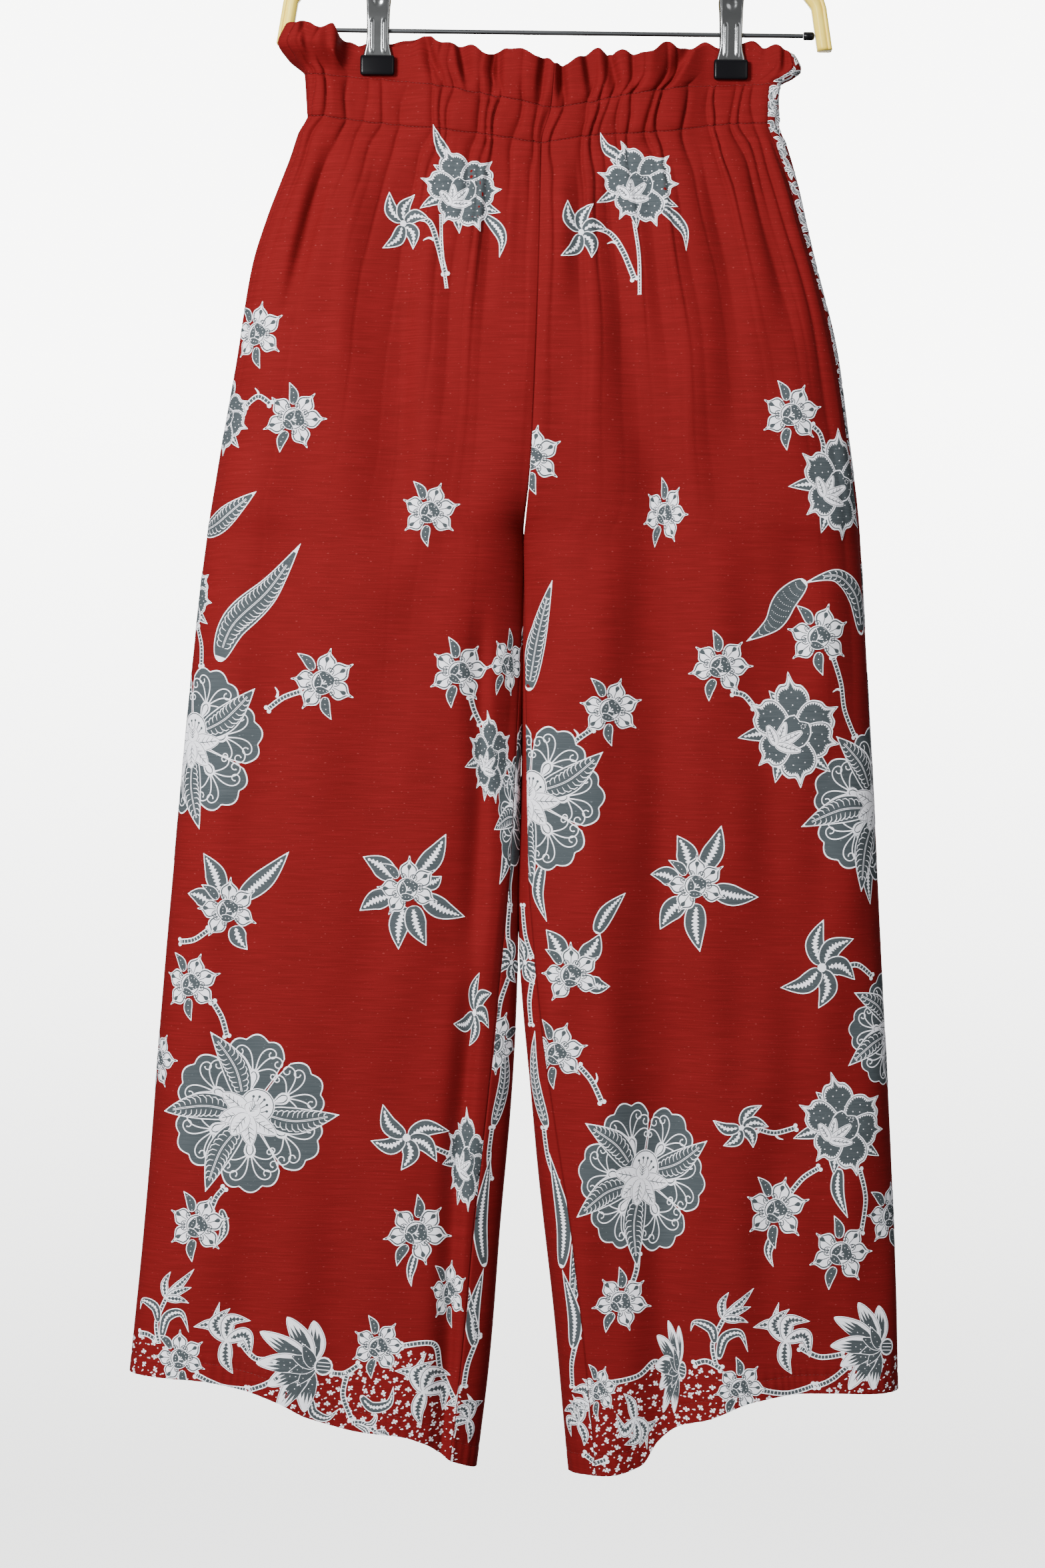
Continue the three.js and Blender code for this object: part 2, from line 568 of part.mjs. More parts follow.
// The soft black boot on a plate's foot: a block between cloth and plate, with a lip in front of the plate
function padGeometry(face) {
  const out = face === "front" ? -1 : 1;
  const cloth = ruffleWall + seamGap / 2 + seamGap;
  const plate = cloth + padWall + seamGap;
  const skin = plate + plateWall + seamGap;
  const top = rodHeight - padTop;
  const bottom = rodHeight - padBottom;
  const plateEnd = rodHeight - clipMetalDrop - 10 - seamGap;
  const profile = new THREE.Shape();
  profile.moveTo(out * cloth, top);
  profile.lineTo(out * cloth, bottom);
  profile.lineTo(out * (skin + padWall), bottom);
  profile.lineTo(out * (skin + padWall), top);
  profile.lineTo(out * skin, top);
  profile.lineTo(out * skin, plateEnd);
  profile.lineTo(out * (plate - seamGap), plateEnd);
  profile.lineTo(out * (plate - seamGap), top);
  profile.closePath();
  const geometry = new THREE.ExtrudeGeometry(profile, { depth: padWidth, bevelEnabled: false });
  geometry.translate(0, 0, -padWidth / 2);
  // The profile is drawn across and up, and extruded along the rod
  geometry.applyMatrix4(new THREE.Matrix4().set(0, 0, 1, 0, 1, 0, 0, 0, 0, 1, 0, 0, 0, 0, 0, 1));
  return geometry;
}

// A short tube round the rod that both plates of a clip pivot on
function sleeveGeometry() {
  const inner = rodRadius + seamGap;
  const half = clipWidth * 0.35;
  const profile = [
    new THREE.Vector2(inner, -half), new THREE.Vector2(sleeveRadius, -half),
    new THREE.Vector2(sleeveRadius, half), new THREE.Vector2(inner, half), new THREE.Vector2(inner, -half),
  ];
  return new THREE.LatheGeometry(profile, 20).rotateZ(Math.PI / 2);
}

// A round bar along the rod's direction
const barGeometry = (radius, length, count) =>
  new THREE.CylinderGeometry(radius, radius, length, count).rotateZ(Math.PI / 2);

const capAt = rodHalf + seamGap + capLength / 2;
addPiece("hanger_bow", bowGeometry(), materials.wood);
addPiece("hanger_hook", hookGeometry(), materials.steel);
addPiece("hanger_rod", barGeometry(rodRadius, 2 * rodHalf, 16), materials.steel, 0, 0, rodHeight);
for (const side of ["right", "left"]) {
  const away = side === "left" ? 1 : -1;
  const cap = barGeometry(capRadius, capLength, 20);
  addPiece(`${side}_rod_cap`, cap, materials.black, away * capAt, 0, rodHeight);
  addPiece(`${side}_clip_sleeve`, sleeveGeometry(), materials.steel, away * clipSpread, 0, rodHeight);
  for (const face of ["front", "back"]) {
    addPiece(`${side}_clip_${face}_plate`, plateGeometry(face), materials.steel, away * clipSpread);
    addPiece(`${side}_clip_${face}_pad`, padGeometry(face), materials.black, away * clipSpread);
  }
}

export default trousers;
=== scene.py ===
# Lounge pants hung by two clips from a wooden hanger, before a plain pale backdrop.
# The forms are worked out in millimetres. A drop is a height below the hanger's rod, and a level runs down
# the cloth from the casing's lower stitching. Shares run across a panel, from the centre seam or the inseam
# to the side seam.
import math
import bpy
import numpy as np
from mathutils import Matrix, Vector
from mathutils.geometry import delaunay_2d_cdt


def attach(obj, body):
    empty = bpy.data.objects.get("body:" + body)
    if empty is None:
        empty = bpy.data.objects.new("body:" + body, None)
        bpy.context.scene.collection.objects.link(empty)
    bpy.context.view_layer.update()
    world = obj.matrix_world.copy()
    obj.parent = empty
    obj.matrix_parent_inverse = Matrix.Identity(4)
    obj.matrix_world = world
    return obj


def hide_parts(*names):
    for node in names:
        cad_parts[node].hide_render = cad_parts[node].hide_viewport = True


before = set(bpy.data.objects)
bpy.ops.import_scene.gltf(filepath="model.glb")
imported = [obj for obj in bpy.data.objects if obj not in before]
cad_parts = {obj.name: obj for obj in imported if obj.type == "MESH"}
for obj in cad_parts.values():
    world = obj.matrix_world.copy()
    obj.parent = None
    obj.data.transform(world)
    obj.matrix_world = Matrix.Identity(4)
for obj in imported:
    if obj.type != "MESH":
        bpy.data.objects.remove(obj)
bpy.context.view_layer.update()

millimetre = 0.001
rodHeight = -180.0

# The garment's sizes, as in the part
crotchLevel, hemLevel, crotchDrop, crotchCurve = 313.0, 1003.0, 386.0, 74.0
casingHeight = ruffleHeight = 33.0
edgeLevel, hemLine = -66.0, 988  # the ruffle's edge and the hem's stitching
# Where the clips hold the cloth: their distance from the middle, the pinch's reach and half the pinched depth
pinch = dict(aside=136.0, near=14.5, far=46, half=1.87)
# X of the side seams, and of the centre seams and inseams, by drop
sideEdges = {
    "right": [
        (-3, -204), (4, -208), (14, -212), (25, -204), (34, -193), (50, -191), (66, -190), (80, -197),
        (102, -204), (145, -220), (183, -231), (262, -243), (317, -252), (400, -264), (490, -273),
        (610, -283), (758, -294), (941, -306), (1035, -314),
    ],
    "left": [
        (13, 183), (20, 188), (27, 191), (33, 184), (38, 175), (52, 174), (69, 174), (86, 180),
        (112, 188), (154, 199), (187, 208), (242, 221), (301, 230), (364, 238), (485, 247), (613, 255),
        (741, 263), (888, 272), (1041, 278),
    ],
}
innerEdges = {
    "right": [(20, 1), (60, -2), (88, -9), (180, -10), (338, -14.5), (375, -18), (386, -18.6), (400, -17.4),
              (640, -17.3), (690, -18.8), (746, -21), (848, -25), (931, -30.5), (1023, -38), (1106, -47)],
    "left": [(20, 1), (60, -2), (88, -9), (180, -10), (338, -14.5), (375, -17.8), (386, -19), (400, -19.8),
             (650, -19.6), (700, -17), (756, -13), (852, -4), (934, 5.5), (1029, 16.5), (1107, 24)],
}
# Half depth of the hollow cloth, by level
depths = {
    "front": [(-66, 15), (-48, 13), (-33, 12), (-12, 15), (0, 15), (40, 23), (120, 31), (220, 36), (330, 37),
              (600, 33), (1003, 34)],
    "back": [(-66, 14), (-48, 13), (-33, 12), (-12, 14), (0, 14), (40, 20), (120, 27), (220, 32), (330, 33),
             (600, 30), (1003, 29)],
}
# How far the seams have turned to the front, by level
inseamTurns = {
    "right": [(313, 0), (420, 3), (666, 13), (840, 20), (1003, 19)],
    "left": [(313, 0), (420, 3), (666, 11), (840, 20), (1003, 21)],
}
sideTurns = {
    "right": [(-66, 8), (-46, 7), (-33, 1), (0, 0.4), (100, 0.2), (1003, 0)],
    "left": [(-66, 4), (-33, 9), (0, 9.5), (70, 7.5), (140, 5), (260, 3), (340, 1), (1003, 0)],
}
# Drops of the ruffle's edge, the upper and the lower stitching and the hem, by share across the panel
topLines = {
    "right": [
        (0, 27), (0.1, 18), (0.27, 15), (0.36, 10), (0.49, 4), (0.66, 10), (0.8, 8), (0.825, 1), (1, 0),
    ],
    "left": [
        (0, 27), (0.1, 22), (0.19, 14), (0.33, 16), (0.47, 8), (0.66, 8), (0.83, 6), (0.92, 10), (1, 15),
    ],
}
gatherLines = {
    "right": [(0, 60), (0.18, 53), (0.52, 42), (0.7, 38), (1, 35)],
    "left": [(0, 60), (0.15, 56), (0.33, 49), (0.71, 40), (1, 38)],
}
casingLines = {
    "right": [(0, 88), (0.23, 82), (0.69, 73), (1, 67)],
    "left": [(0, 88), (0.2, 82), (0.54, 77), (0.8, 70), (1, 69)],
}
hemLines = {
    "right": [(0, 1105), (0.08, 1095), (0.14, 1083), (0.22, 1076), (0.34, 1073), (0.48, 1063), (0.56, 1052),
              (0.66, 1043), (0.8, 1036), (1, 1034)],
    "left": [(0, 1107), (0.12, 1105), (0.22, 1098), (0.27, 1080), (0.33, 1068), (0.42, 1060), (0.56, 1046),
             (0.74, 1040), (1, 1041)],
}


def ease(low, high, value):
    t = np.clip((value - low) / (high - low), 0, 1)
    return t * t * (3 - 2 * t)


def mix(a, b, share):
    return a + (b - a) * share


# A table's second column at places along its first, on a smooth curve that doesn't overshoot
def readTable(rows, at):
    keys, values = np.array(rows, float).T
    slopes = np.diff(values) / np.diff(keys)
    before, after = slopes[:-1], slopes[1:]
    agree = before * after > 0
    between = np.where(agree, 2 * before * after / np.where(agree, before + after, 1), 0)
    tangents = np.concatenate(([slopes[0]], between, [slopes[-1]]))
    at = np.clip(at, keys[0], keys[-1])
    i = np.clip(np.searchsorted(keys, at, side="right") - 1, 0, len(keys) - 2)
    step = keys[i + 1] - keys[i]
    t = (at - keys[i]) / step
    t2, t3 = t * t, t * t * t
    return ((2 * t3 - 3 * t2 + 1) * values[i] + (t3 - 2 * t2 + t) * step * tangents[i]
            + (3 * t2 - 2 * t3) * values[i + 1] + (t3 - t2) * step * tangents[i + 1])


# The drops of a panel's edge, its two rows of stitching and its hem
def fourLines(side, face, share):
    top = readTable(topLines[side], share) + (4 * np.sin(np.pi * share) ** 2 if face == "front" else 0)
    return (top, readTable(gatherLines[side], share), readTable(casingLines[side], share),
            readTable(hemLines[side], share))


def dropAt(side, face, level, share):
    top, gathered, casing, hem = fourLines(side, face, share)
    inRuffle = mix(gathered, top, (-casingHeight - level) / ruffleHeight)
    inCasing = mix(casing, gathered, -level / casingHeight)
    inBody = mix(casing, crotchDrop, level / crotchLevel)
    inLeg = mix(crotchDrop, hem, (level - crotchLevel) / (hemLevel - crotchLevel))
    places = [level < -casingHeight, level < 0, level < crotchLevel]
    return np.select(places, [inRuffle, inCasing, inBody], inLeg)


def levelAt(side, face, drop, share):
    top, gathered, casing, hem = fourLines(side, face, share)
    inRuffle = -casingHeight - ruffleHeight * (gathered - drop) / (gathered - top)
    inCasing = -casingHeight * (casing - drop) / (casing - gathered)
    inBody = crotchLevel * (drop - casing) / (crotchDrop - casing)
    inLeg = crotchLevel + (drop - crotchDrop) / (hem - crotchDrop) * (hemLevel - crotchLevel)
    places = [drop < gathered, drop < casing, drop < crotchDrop]
    return np.select(places, [inRuffle, inCasing, inBody], inLeg)


# 1 where the cloth hangs freely, 0 where a clip presses front and back together
def freedom(x, level):
    away = np.minimum(np.abs(x - pinch["aside"]), np.abs(x + pinch["aside"]))
    across = 1 - ease(pinch["near"], pinch["far"], away)
    down = mix(1, 0.72, ease(-36, -33, level)) * (1 - ease(-33, 34, level))
    return 1 - across * down


# The shares of the cloth's depth at a panel's sides and, on top of that, in its middle
rimShare, crownShare = 0.78, 0.22


# One half of the garment cut across at each level: a loop from its inner edge along the front to the side,
# and home along the back
def cutAcross(side, levels, steps=150):
    level = levels[:, None]
    zero = np.zeros_like(levels)
    inner = readTable(innerEdges[side], dropAt(side, "front", levels, zero))[:, None]
    outer = readTable(sideEdges[side], dropAt(side, "front", levels, zero + 1))[:, None]
    middle, half = (inner + outer) / 2, (outer - inner) / 2
    up = np.clip((crotchLevel - level) / crotchCurve, 0, 1)
    rise = np.sqrt(1 - (1 - up) ** 2)
    closing = np.sqrt(1 - rise ** 2)
    faces = []
    for face in ("front", "back"):
        angles = np.linspace(0, np.pi, steps + 1)
        if face == "back":
            angles = np.linspace(np.pi, 0, steps + 1)[1:]
        across = np.cos(angles)[None, :]
        depth = readTable(depths[face], level) * rimShare
        flat = 1 - np.clip(depth * 1.6 / np.abs(half), 0, 0.8)
        beyond = np.clip((np.abs(across) - flat) / (1 - flat), 0, 1) * np.where(across > 0, closing, 1)
        x = middle - half * across
        bulge = 1 + crownShare / rimShare * (1 - mix(across, (1 - across) / 2, rise) ** 2)
        free = freedom(x, level)
        cover = np.sqrt(1 - beyond ** 2)
        y = depth * cover * bulge * free + pinch["half"] * (1 - free)
        # The right end of the ruffle flops forward
        flop = 13 * ease(-36, -54, level) * ease(-161, -168, x) if side == "right" else 0 * x
        faces.append(dict(x=x, y=-y if face == "front" else y, flop=flop, free=free, cover=cover,
                          share=(x - inner) / (outer - inner), front=0 * x + (face == "front")))
    loop = {key: np.concatenate([faces[0][key], faces[1][key]], axis=1) for key in faces[0]}
    stride = np.hypot(np.diff(loop["x"], axis=1), np.diff(loop["y"], axis=1))
    loop["arc"] = np.concatenate([np.zeros((len(levels), 1)), np.cumsum(stride, axis=1)], axis=1)
    loop["y"] = loop["y"] - loop["flop"]
    # The seams' places on the loop
    loop["inseam"], loop["side"] = np.zeros(len(levels)), np.zeros(len(levels))
    for r in range(len(levels)):
        frontX, frontArc = loop["x"][r, :steps + 1], loop["arc"][r, :steps + 1]
        fromInner = np.abs(frontX - frontX[0])
        loop["inseam"][r] = np.interp(readTable(inseamTurns[side], levels[r]), fromInner, frontArc)
        fromSide = np.abs(frontX - frontX[-1])[::-1]
        loop["side"][r] = np.interp(readTable(sideTurns[side], levels[r]), fromSide, frontArc[::-1])
    return loop


# Main folds: drop and X where they start and end, the widths left and right of the trough, and
# the depth. A ridge is negative.
folds = {
    "right front": [
        (76, -166, 235, -208, 6, 8, 8.0), (80, -112, 430, -116, 32, 12, 8.5),
        (84, -150, 300, -160, 9, 12, -3.5), (86, -84, 330, -78, 10, 13, 3.0),
        (90, -50, 250, -50, 8, 8, 3.6), (90, -26, 210, -28, 6, 9, 2.4),
        (330, -196, 900, -246, 20, 26, 3.6), (420, -120, 800, -138, 26, 20, 2.6),
        (430, -47, 740, -56, 10, 7, 6.5), (700, -55, 1180, -76, 10, 7, 9.0),
        (760, -148, 1190, -168, 22, 26, 4.5), (860, -222, 1190, -232, 18, 20, 2.8),
    ],
    "left front": [
        (88, 30, 390, 86, 15, 16, 7.0), (300, 82, 800, 92, 26, 22, 10.5),
        (720, 97, 1210, 93, 24, 24, 13.0), (82, 118, 340, 148, 12, 14, 5.0),
        (74, 154, 250, 184, 8, 10, 5.0), (88, 62, 260, 88, 8, 10, 3.0), (90, 12, 230, 20, 7, 8, 3.0),
        (400, 30, 900, 52, 18, 18, -3.6), (360, 160, 820, 184, 22, 26, 3.0),
        (800, 178, 1190, 198, 24, 30, 3.6), (880, 232, 1190, 240, 16, 20, 2.4),
    ],
    "right back": [
        (80, -150, 380, -190, 15, 12, 6.0), (84, -70, 330, -76, 14, 11, 5.0),
        (90, -30, 240, -34, 8, 10, 3.0), (420, -120, 1190, -150, 26, 20, 8.0),
        (620, -225, 1190, -245, 20, 26, 5.5), (520, -60, 1190, -70, 14, 18, 4.0),
    ],
    "left back": [
        (80, 128, 380, 160, 15, 12, 6.0), (84, 50, 330, 52, 12, 15, 5.0), (90, 14, 240, 16, 8, 10, 3.0),
        (420, 92, 1190, 118, 22, 26, 8.0), (620, 190, 1190, 212, 20, 24, 5.5),
        (560, 34, 1190, 50, 14, 16, 4.0),
    ],
}
# Folds of the ruffle: X at its stitching, X at its edge, widths left and right, depth
ruffleFolds = {
    "right front": [
        (-158, -159, 3, 7, 10), (-147, -144, 3, 5, 5), (-118, -120, 7, 4, 4), (-86, -99, 8, 3, 9),
        (-66, -73, 3, 7, 8), (-44, -43, 7, 3, 10), (-22, -21, 14, 16, -4), (-12, -8, 3, 6, 6),
        (-186, -192, 3, 7, 5), (-172, -175, 6, 3, 3),
    ],
    "left front": [
        (8, 5, 6, 3, 10), (30, 24, 3, 7, 7), (50, 43, 7, 3, 9), (62, 60, 3, 5, 4), (72, 74, 9, 8, -3),
        (86, 104, 8, 3, 9), (118, 119, 3, 7, 5), (152, 163, 3, 6, 9), (140, 141, 5, 3, 4),
        (176, 178, 3, 5, 6),
    ],
    "right back": [
        (-170, -166, 7, 6, 5), (-104, -110, 8, 6, 5), (-74, -70, 6, 7, 4), (-52, -56, 5, 6, 5),
        (-24, -20, 7, 9, 4),
    ],
    "left back": [
        (16, 20, 6, 7, 5), (40, 36, 7, 6, 5), (66, 72, 8, 6, 4), (98, 94, 6, 8, 5), (158, 154, 7, 6, 5),
    ],
}
cloth = dict(columns=200, wall=0.8, hemWall=1.5, casingWall=1.5, ruffleWall=1.2, pleats=15, gatherDepth=4.5,
             softPleats=8, softDepth=3.4, sag=1.5, seamGroove=0.5, stitchGroove=0.45, hemGroove=0.35)
# The levels of the cloth's rows, close together at the stitching and the edges
ruffleLevels = np.array([-66, -65.5, -64.5, -63, -61, -58.5, -56, -53, -50, -47, -44.5, -42, -40, -38, -36.5,
                         -35.2, -34.2, -33.05])
casingLevels = np.array([-32.95, -32, -30.5, -28.5, -25.5, -22, -18.5, -15, -11.5, -8, -5, -3, -1.4, -0.05])
legLevels = np.concatenate([[0.05, 1.2, 2.8, 5, 8, 12, 16], np.arange(21, 70, 5.5), np.arange(73, 972, 7.7),
                            [974, 979, 983, 985.6, 987, 988, 989, 990.4, 993, 997, 1001, 1002.4, 1003]])
allLevels = np.concatenate([ruffleLevels, casingLevels, legLevels])


# Uneven pleats side by side: rounded humps with sharp valleys, each with its own width, height and length
def pleatRow(random, count, along, level, shortest, longest, sharpness):
    edges = np.concatenate([[0], np.cumsum(random.uniform(0.35, 1.7, count))])
    edges = edges / edges[-1]
    heights, lengths = random.uniform(0.4, 1, count), random.uniform(shortest, longest, count)
    i = np.clip(np.searchsorted(edges, along, side="right") - 1, 0, count - 1)
    t = np.clip((along - edges[i]) / (edges[i + 1] - edges[i]), 0, 1)
    hump = (1 - np.abs(2 * t - 1) ** sharpness) * heights[i] - 0.36
    fading = np.exp(-(np.clip(level, 0, None) / lengths[i]) ** 1.4)
    return hump, fading


# How deep the main folds are at each place of a panel
def foldDepth(entries, x, drop):
    total = np.zeros_like(x)
    for start, startX, end, endX, leftWidth, rightWidth, depth in entries:
        along = (drop - start) / (end - start)
        off = x - mix(startX, endX, along) - 2.2 * np.sin(drop * 0.017 + startX)
        width = np.where(off < 0, leftWidth, rightWidth)
        shown = ease(start, start + 70, drop) * (1 - ease(end - 70, end, drop))
        total += depth * np.exp(-(off / width) ** 2) * shown
    return total


# The whole surface of one panel, from the ruffle's edge to the hem
def makeSurface(side, face, seed):
    random = np.random.default_rng(seed)
    levels, columns = allLevels, cloth["columns"]
    loop = cutAcross(side, levels)
    away = 1 if side == "left" else -1
    length = loop["arc"][:, -1]
    starts, ends = loop["inseam"] if face == "front" else length + loop["inseam"], loop["side"]
    across = np.linspace(0, 1, columns + 1)
    carried = ("x", "y", "free", "cover", "share", "front")
    at = {key: np.zeros((len(levels), columns + 1)) for key in (*carried, "nx", "ny")}
    # Each ring goes on past its start, as far as the inseam may have turned
    further = slice(1, 60)
    for r in range(len(levels)):
        arc = np.concatenate([loop["arc"][r], loop["arc"][r][further] + length[r]])
        places = mix(starts[r], ends[r], across)
        ring = {key: np.concatenate([loop[key][r], loop[key][r][further]]) for key in carried}
        for key in carried:
            at[key][r] = np.interp(places, arc, ring[key])
        slopeX = np.interp(places, arc, np.gradient(ring["x"], arc))
        slopeY = np.interp(places, arc, np.gradient(ring["y"], arc))
        size = np.hypot(slopeX, slopeY)
        at["nx"][r], at["ny"][r] = slopeY / size * away, -slopeX / size * away
    level = np.repeat(levels[:, None], columns + 1, axis=1)
    share = np.clip(at["share"], 0, 1)
    drop = dropAt(side, face, level, share)
    along = np.repeat(across[None, :], len(levels), axis=0)
    slant = 0.009 * np.sin(level * 0.1 + along * 31) * ease(-50, -30, level) * (1 - ease(10, 60, level))
    wander = 0.004 * np.sin(level * 0.045 + along * 19) * ease(-40, 30, level)
    drift = np.clip(along + slant + wander, 0, 1)
    hump, fading = pleatRow(random, cloth["pleats"], drift, level, 30, 170, 3.2)
    soft, softFading = pleatRow(random, cloth["softPleats"], drift, level, 90, 300, 2.2)
    nearLine = np.clip(np.exp(-((level + casingHeight) / 2.4) ** 2) + np.exp(-(level / 2.4) ** 2), 0, 1)
    gathers = cloth["gatherDepth"] * hump * fading * mix(0.4, 1, ease(-52, -35, level)) * (1 - 0.3 * nearLine)
    softFolds = cloth["softDepth"] * soft * softFading * ease(2, 60, level)
    # Slight waves all over the hanging cloth
    waves = np.zeros_like(level)
    for amplitude, wide, high, phase in zip(random.uniform(0.15, 0.5, 9), random.uniform(34, 120, 9),
                                            random.uniform(150, 520, 9), random.uniform(0, 1, 9)):
        lean = 1 if phase > 0.5 else -1
        waves += amplitude * np.sin(2 * np.pi * (at["x"] / wide + drop / high * lean + phase))
    waves *= ease(-10, 120, level)
    edge = np.minimum(1, np.minimum(along, 1 - along) / 0.03)
    lift = (gathers + softFolds) * edge * at["free"] ** mix(0.5, 1.4, ease(-31, -38, level)) + waves * edge
    # The stitched lines sag a little under each pleat, and the ruffle's edge rises and falls
    nearStitches = np.exp(-((level + casingHeight) / 6) ** 2) + np.exp(-(level / 6) ** 2)
    sag = cloth["sag"] * hump * edge * nearStitches
    ripple = 1.7 * np.sin(along * 38 + seed) + 1.1 * np.sin(along * 67 + 2 * seed)
    sag += ripple * ease(-48, edgeLevel, level) * edge
    # The seams and the stitched lines lie in shallow grooves, and the hem puckers slightly
    fromSeam = np.minimum(along, 1 - along) * np.abs(ends - starts)[:, None]
    groove = cloth["stitchGroove"]
    lift -= cloth["seamGroove"] * np.exp(-(fromSeam / 1.3) ** 2)
    lift -= groove * np.exp(-(level / 1.5) ** 2) + groove * np.exp(-((level + casingHeight) / 1.5) ** 2)
    lift -= cloth["hemGroove"] * np.exp(-((level - hemLine) / 1.6) ** 2)
    lift += 0.25 * np.sin(along * 260 + 3 * np.sin(along * 31)) * ease(976, hemLine, level)
    trough = foldDepth(folds[f"{side} {face}"], at["x"], drop)
    upward = ease(-33, -52, level)
    for foot, top, leftWidth, rightWidth, depth in ruffleFolds[f"{side} {face}"]:
        off = at["x"] - mix(foot, top, np.clip((-casingHeight - level) / ruffleHeight, 0, 1))
        width = np.where(off < 0, leftWidth, rightWidth)
        trough += depth * np.exp(-(off / width) ** 2) * mix(0.25, 1, upward) * ease(-30, -34, level)
    trough *= at["cover"] * at["free"] ** 1.3 * edge
    inward = np.where(at["front"] > 0.5, 1, -1)
    points = np.stack([at["x"] + at["nx"] * lift, at["y"] + at["ny"] * lift + inward * trough,
                       rodHeight - drop - sag], axis=2)
    normals = np.cross(np.gradient(points, axis=1), np.gradient(points, axis=0))
    normals /= np.linalg.norm(normals, axis=2, keepdims=True)
    if np.sum(normals[..., 0] * at["nx"] + normals[..., 1] * at["ny"]) < 0:
        normals = -normals
    return dict(side=side, face=face, away=away, levels=levels, across=across, points=points, normals=normals,
                share=share, x=at["x"], baseLength=np.abs(ends - starts), drop=drop)


def addMesh(name, corners, faces, material, uvs=None):
    mesh = bpy.data.meshes.new(name)
    corners = np.asarray(corners, float) * millimetre
    flatFaces = faces.ravel()
    mesh.vertices.add(len(corners))
    mesh.vertices.foreach_set("co", corners.ravel())
    mesh.loops.add(len(flatFaces))
    mesh.loops.foreach_set("vertex_index", flatFaces)
    mesh.polygons.add(len(faces))
    mesh.polygons.foreach_set("loop_start", np.arange(len(faces)) * faces.shape[1])
    mesh.polygons.foreach_set("use_smooth", np.full(len(faces), True))
    if uvs is not None:
        layer = mesh.uv_layers.new(name="cloth")
        layer.data.foreach_set("uv", (np.asarray(uvs)[flatFaces] * millimetre).ravel())
    mesh.update(calc_edges=True)
    mesh.validate()
    mesh.materials.append(material)
    made = bpy.data.objects.new(name, mesh)
    bpy.context.scene.collection.objects.link(made)
    return made


# The faces of a closed shell between two sheets of one grid, the second sheet inside the first
def shellFaces(rows, columns):
    def at(layer, r, c):
        return (layer * rows + r) * columns + c
    r, c = (a.ravel() for a in np.meshgrid(np.arange(rows - 1), np.arange(columns - 1), indexing="ij"))
    outer = np.stack([at(0, r, c), at(0, r + 1, c), at(0, r + 1, c + 1), at(0, r, c + 1)], axis=1)
    inner = np.stack([at(1, r, c), at(1, r, c + 1), at(1, r + 1, c + 1), at(1, r + 1, c)], axis=1)
    c, r = np.arange(columns - 1), np.arange(rows - 1)
    last, end = rows - 1, columns - 1
    rims = [
        np.stack([at(0, 0, c), at(0, 0, c + 1), at(1, 0, c + 1), at(1, 0, c)], axis=1),
        np.stack([at(0, last, c), at(1, last, c), at(1, last, c + 1), at(0, last, c + 1)], axis=1),
        np.stack([at(0, r, 0), at(1, r, 0), at(1, r + 1, 0), at(0, r + 1, 0)], axis=1),
        np.stack([at(0, r, end), at(0, r + 1, end), at(1, r + 1, end), at(1, r, end)], axis=1),
    ]
    return np.concatenate([outer, inner, *rims])


# The faces of a closed mesh, turned round if it is inside out
def facesOut(corners, faces):
    a, b, c, d = (np.asarray(corners)[faces[:, k]] for k in (0, 1, 2, 3))
    volume = np.einsum("ij,ij->", a, np.cross(b, c)) + np.einsum("ij,ij->", a, np.cross(c, d))
    return faces if volume > 0 else faces[:, ::-1]


def newMaterial(name):
    made = bpy.data.materials.new(name)
    made.use_nodes = True
    return made, made.node_tree.nodes, made.node_tree.links, made.node_tree.nodes["Principled BSDF"]


# Shared plain weave: fine crossing threads with slubs along the weft, as a height and two masks
def weaveGroup():
    group = bpy.data.node_groups.new("plainWeave", "ShaderNodeTree")
    group.interface.new_socket("Coordinates", in_out="INPUT", socket_type="NodeSocketVector")
    for socket in ("Height", "Slub", "Nep"):
        group.interface.new_socket(socket, in_out="OUTPUT", socket_type="NodeSocketFloat")
    nodes, links = group.nodes, group.links
    source, sink = nodes.new("NodeGroupInput"), nodes.new("NodeGroupOutput")

    def noise(x, y, detail, roughness):
        mapping = nodes.new("ShaderNodeMapping")
        mapping.inputs["Scale"].default_value = (x, y, 1)
        links.new(source.outputs["Coordinates"], mapping.inputs["Vector"])
        made = nodes.new("ShaderNodeTexNoise")
        made.inputs["Scale"].default_value = 1
        made.inputs["Detail"].default_value = detail
        made.inputs["Roughness"].default_value = roughness
        links.new(mapping.outputs["Vector"], made.inputs["Vector"])
        return made.outputs["Fac"]

    def ramp(value, low, high):
        made = nodes.new("ShaderNodeMapRange")
        made.inputs["From Min"].default_value = low
        made.inputs["From Max"].default_value = high
        links.new(value, made.inputs["Value"])
        return made.outputs["Result"]

    def add(a, b):
        made = nodes.new("ShaderNodeMath")
        links.new(a, made.inputs[0])
        links.new(b, made.inputs[1])
        return made.outputs["Value"]

    slub = noise(34, 900, 3, 0.55)
    threads = add(noise(220, 2600, 2, 0.6), noise(2400, 260, 2, 0.6))
    links.new(add(threads, slub), sink.inputs["Height"])
    links.new(ramp(slub, 0.3, 0.72), sink.inputs["Slub"])
    links.new(ramp(noise(420, 700, 0, 0.5), 0.76, 0.84), sink.inputs["Nep"])
    return group


plainWeave = weaveGroup()


cotton = dict(roughness=0.86, shine=0.14, bump=0.22, relief=0.0003, cloud=0.5)


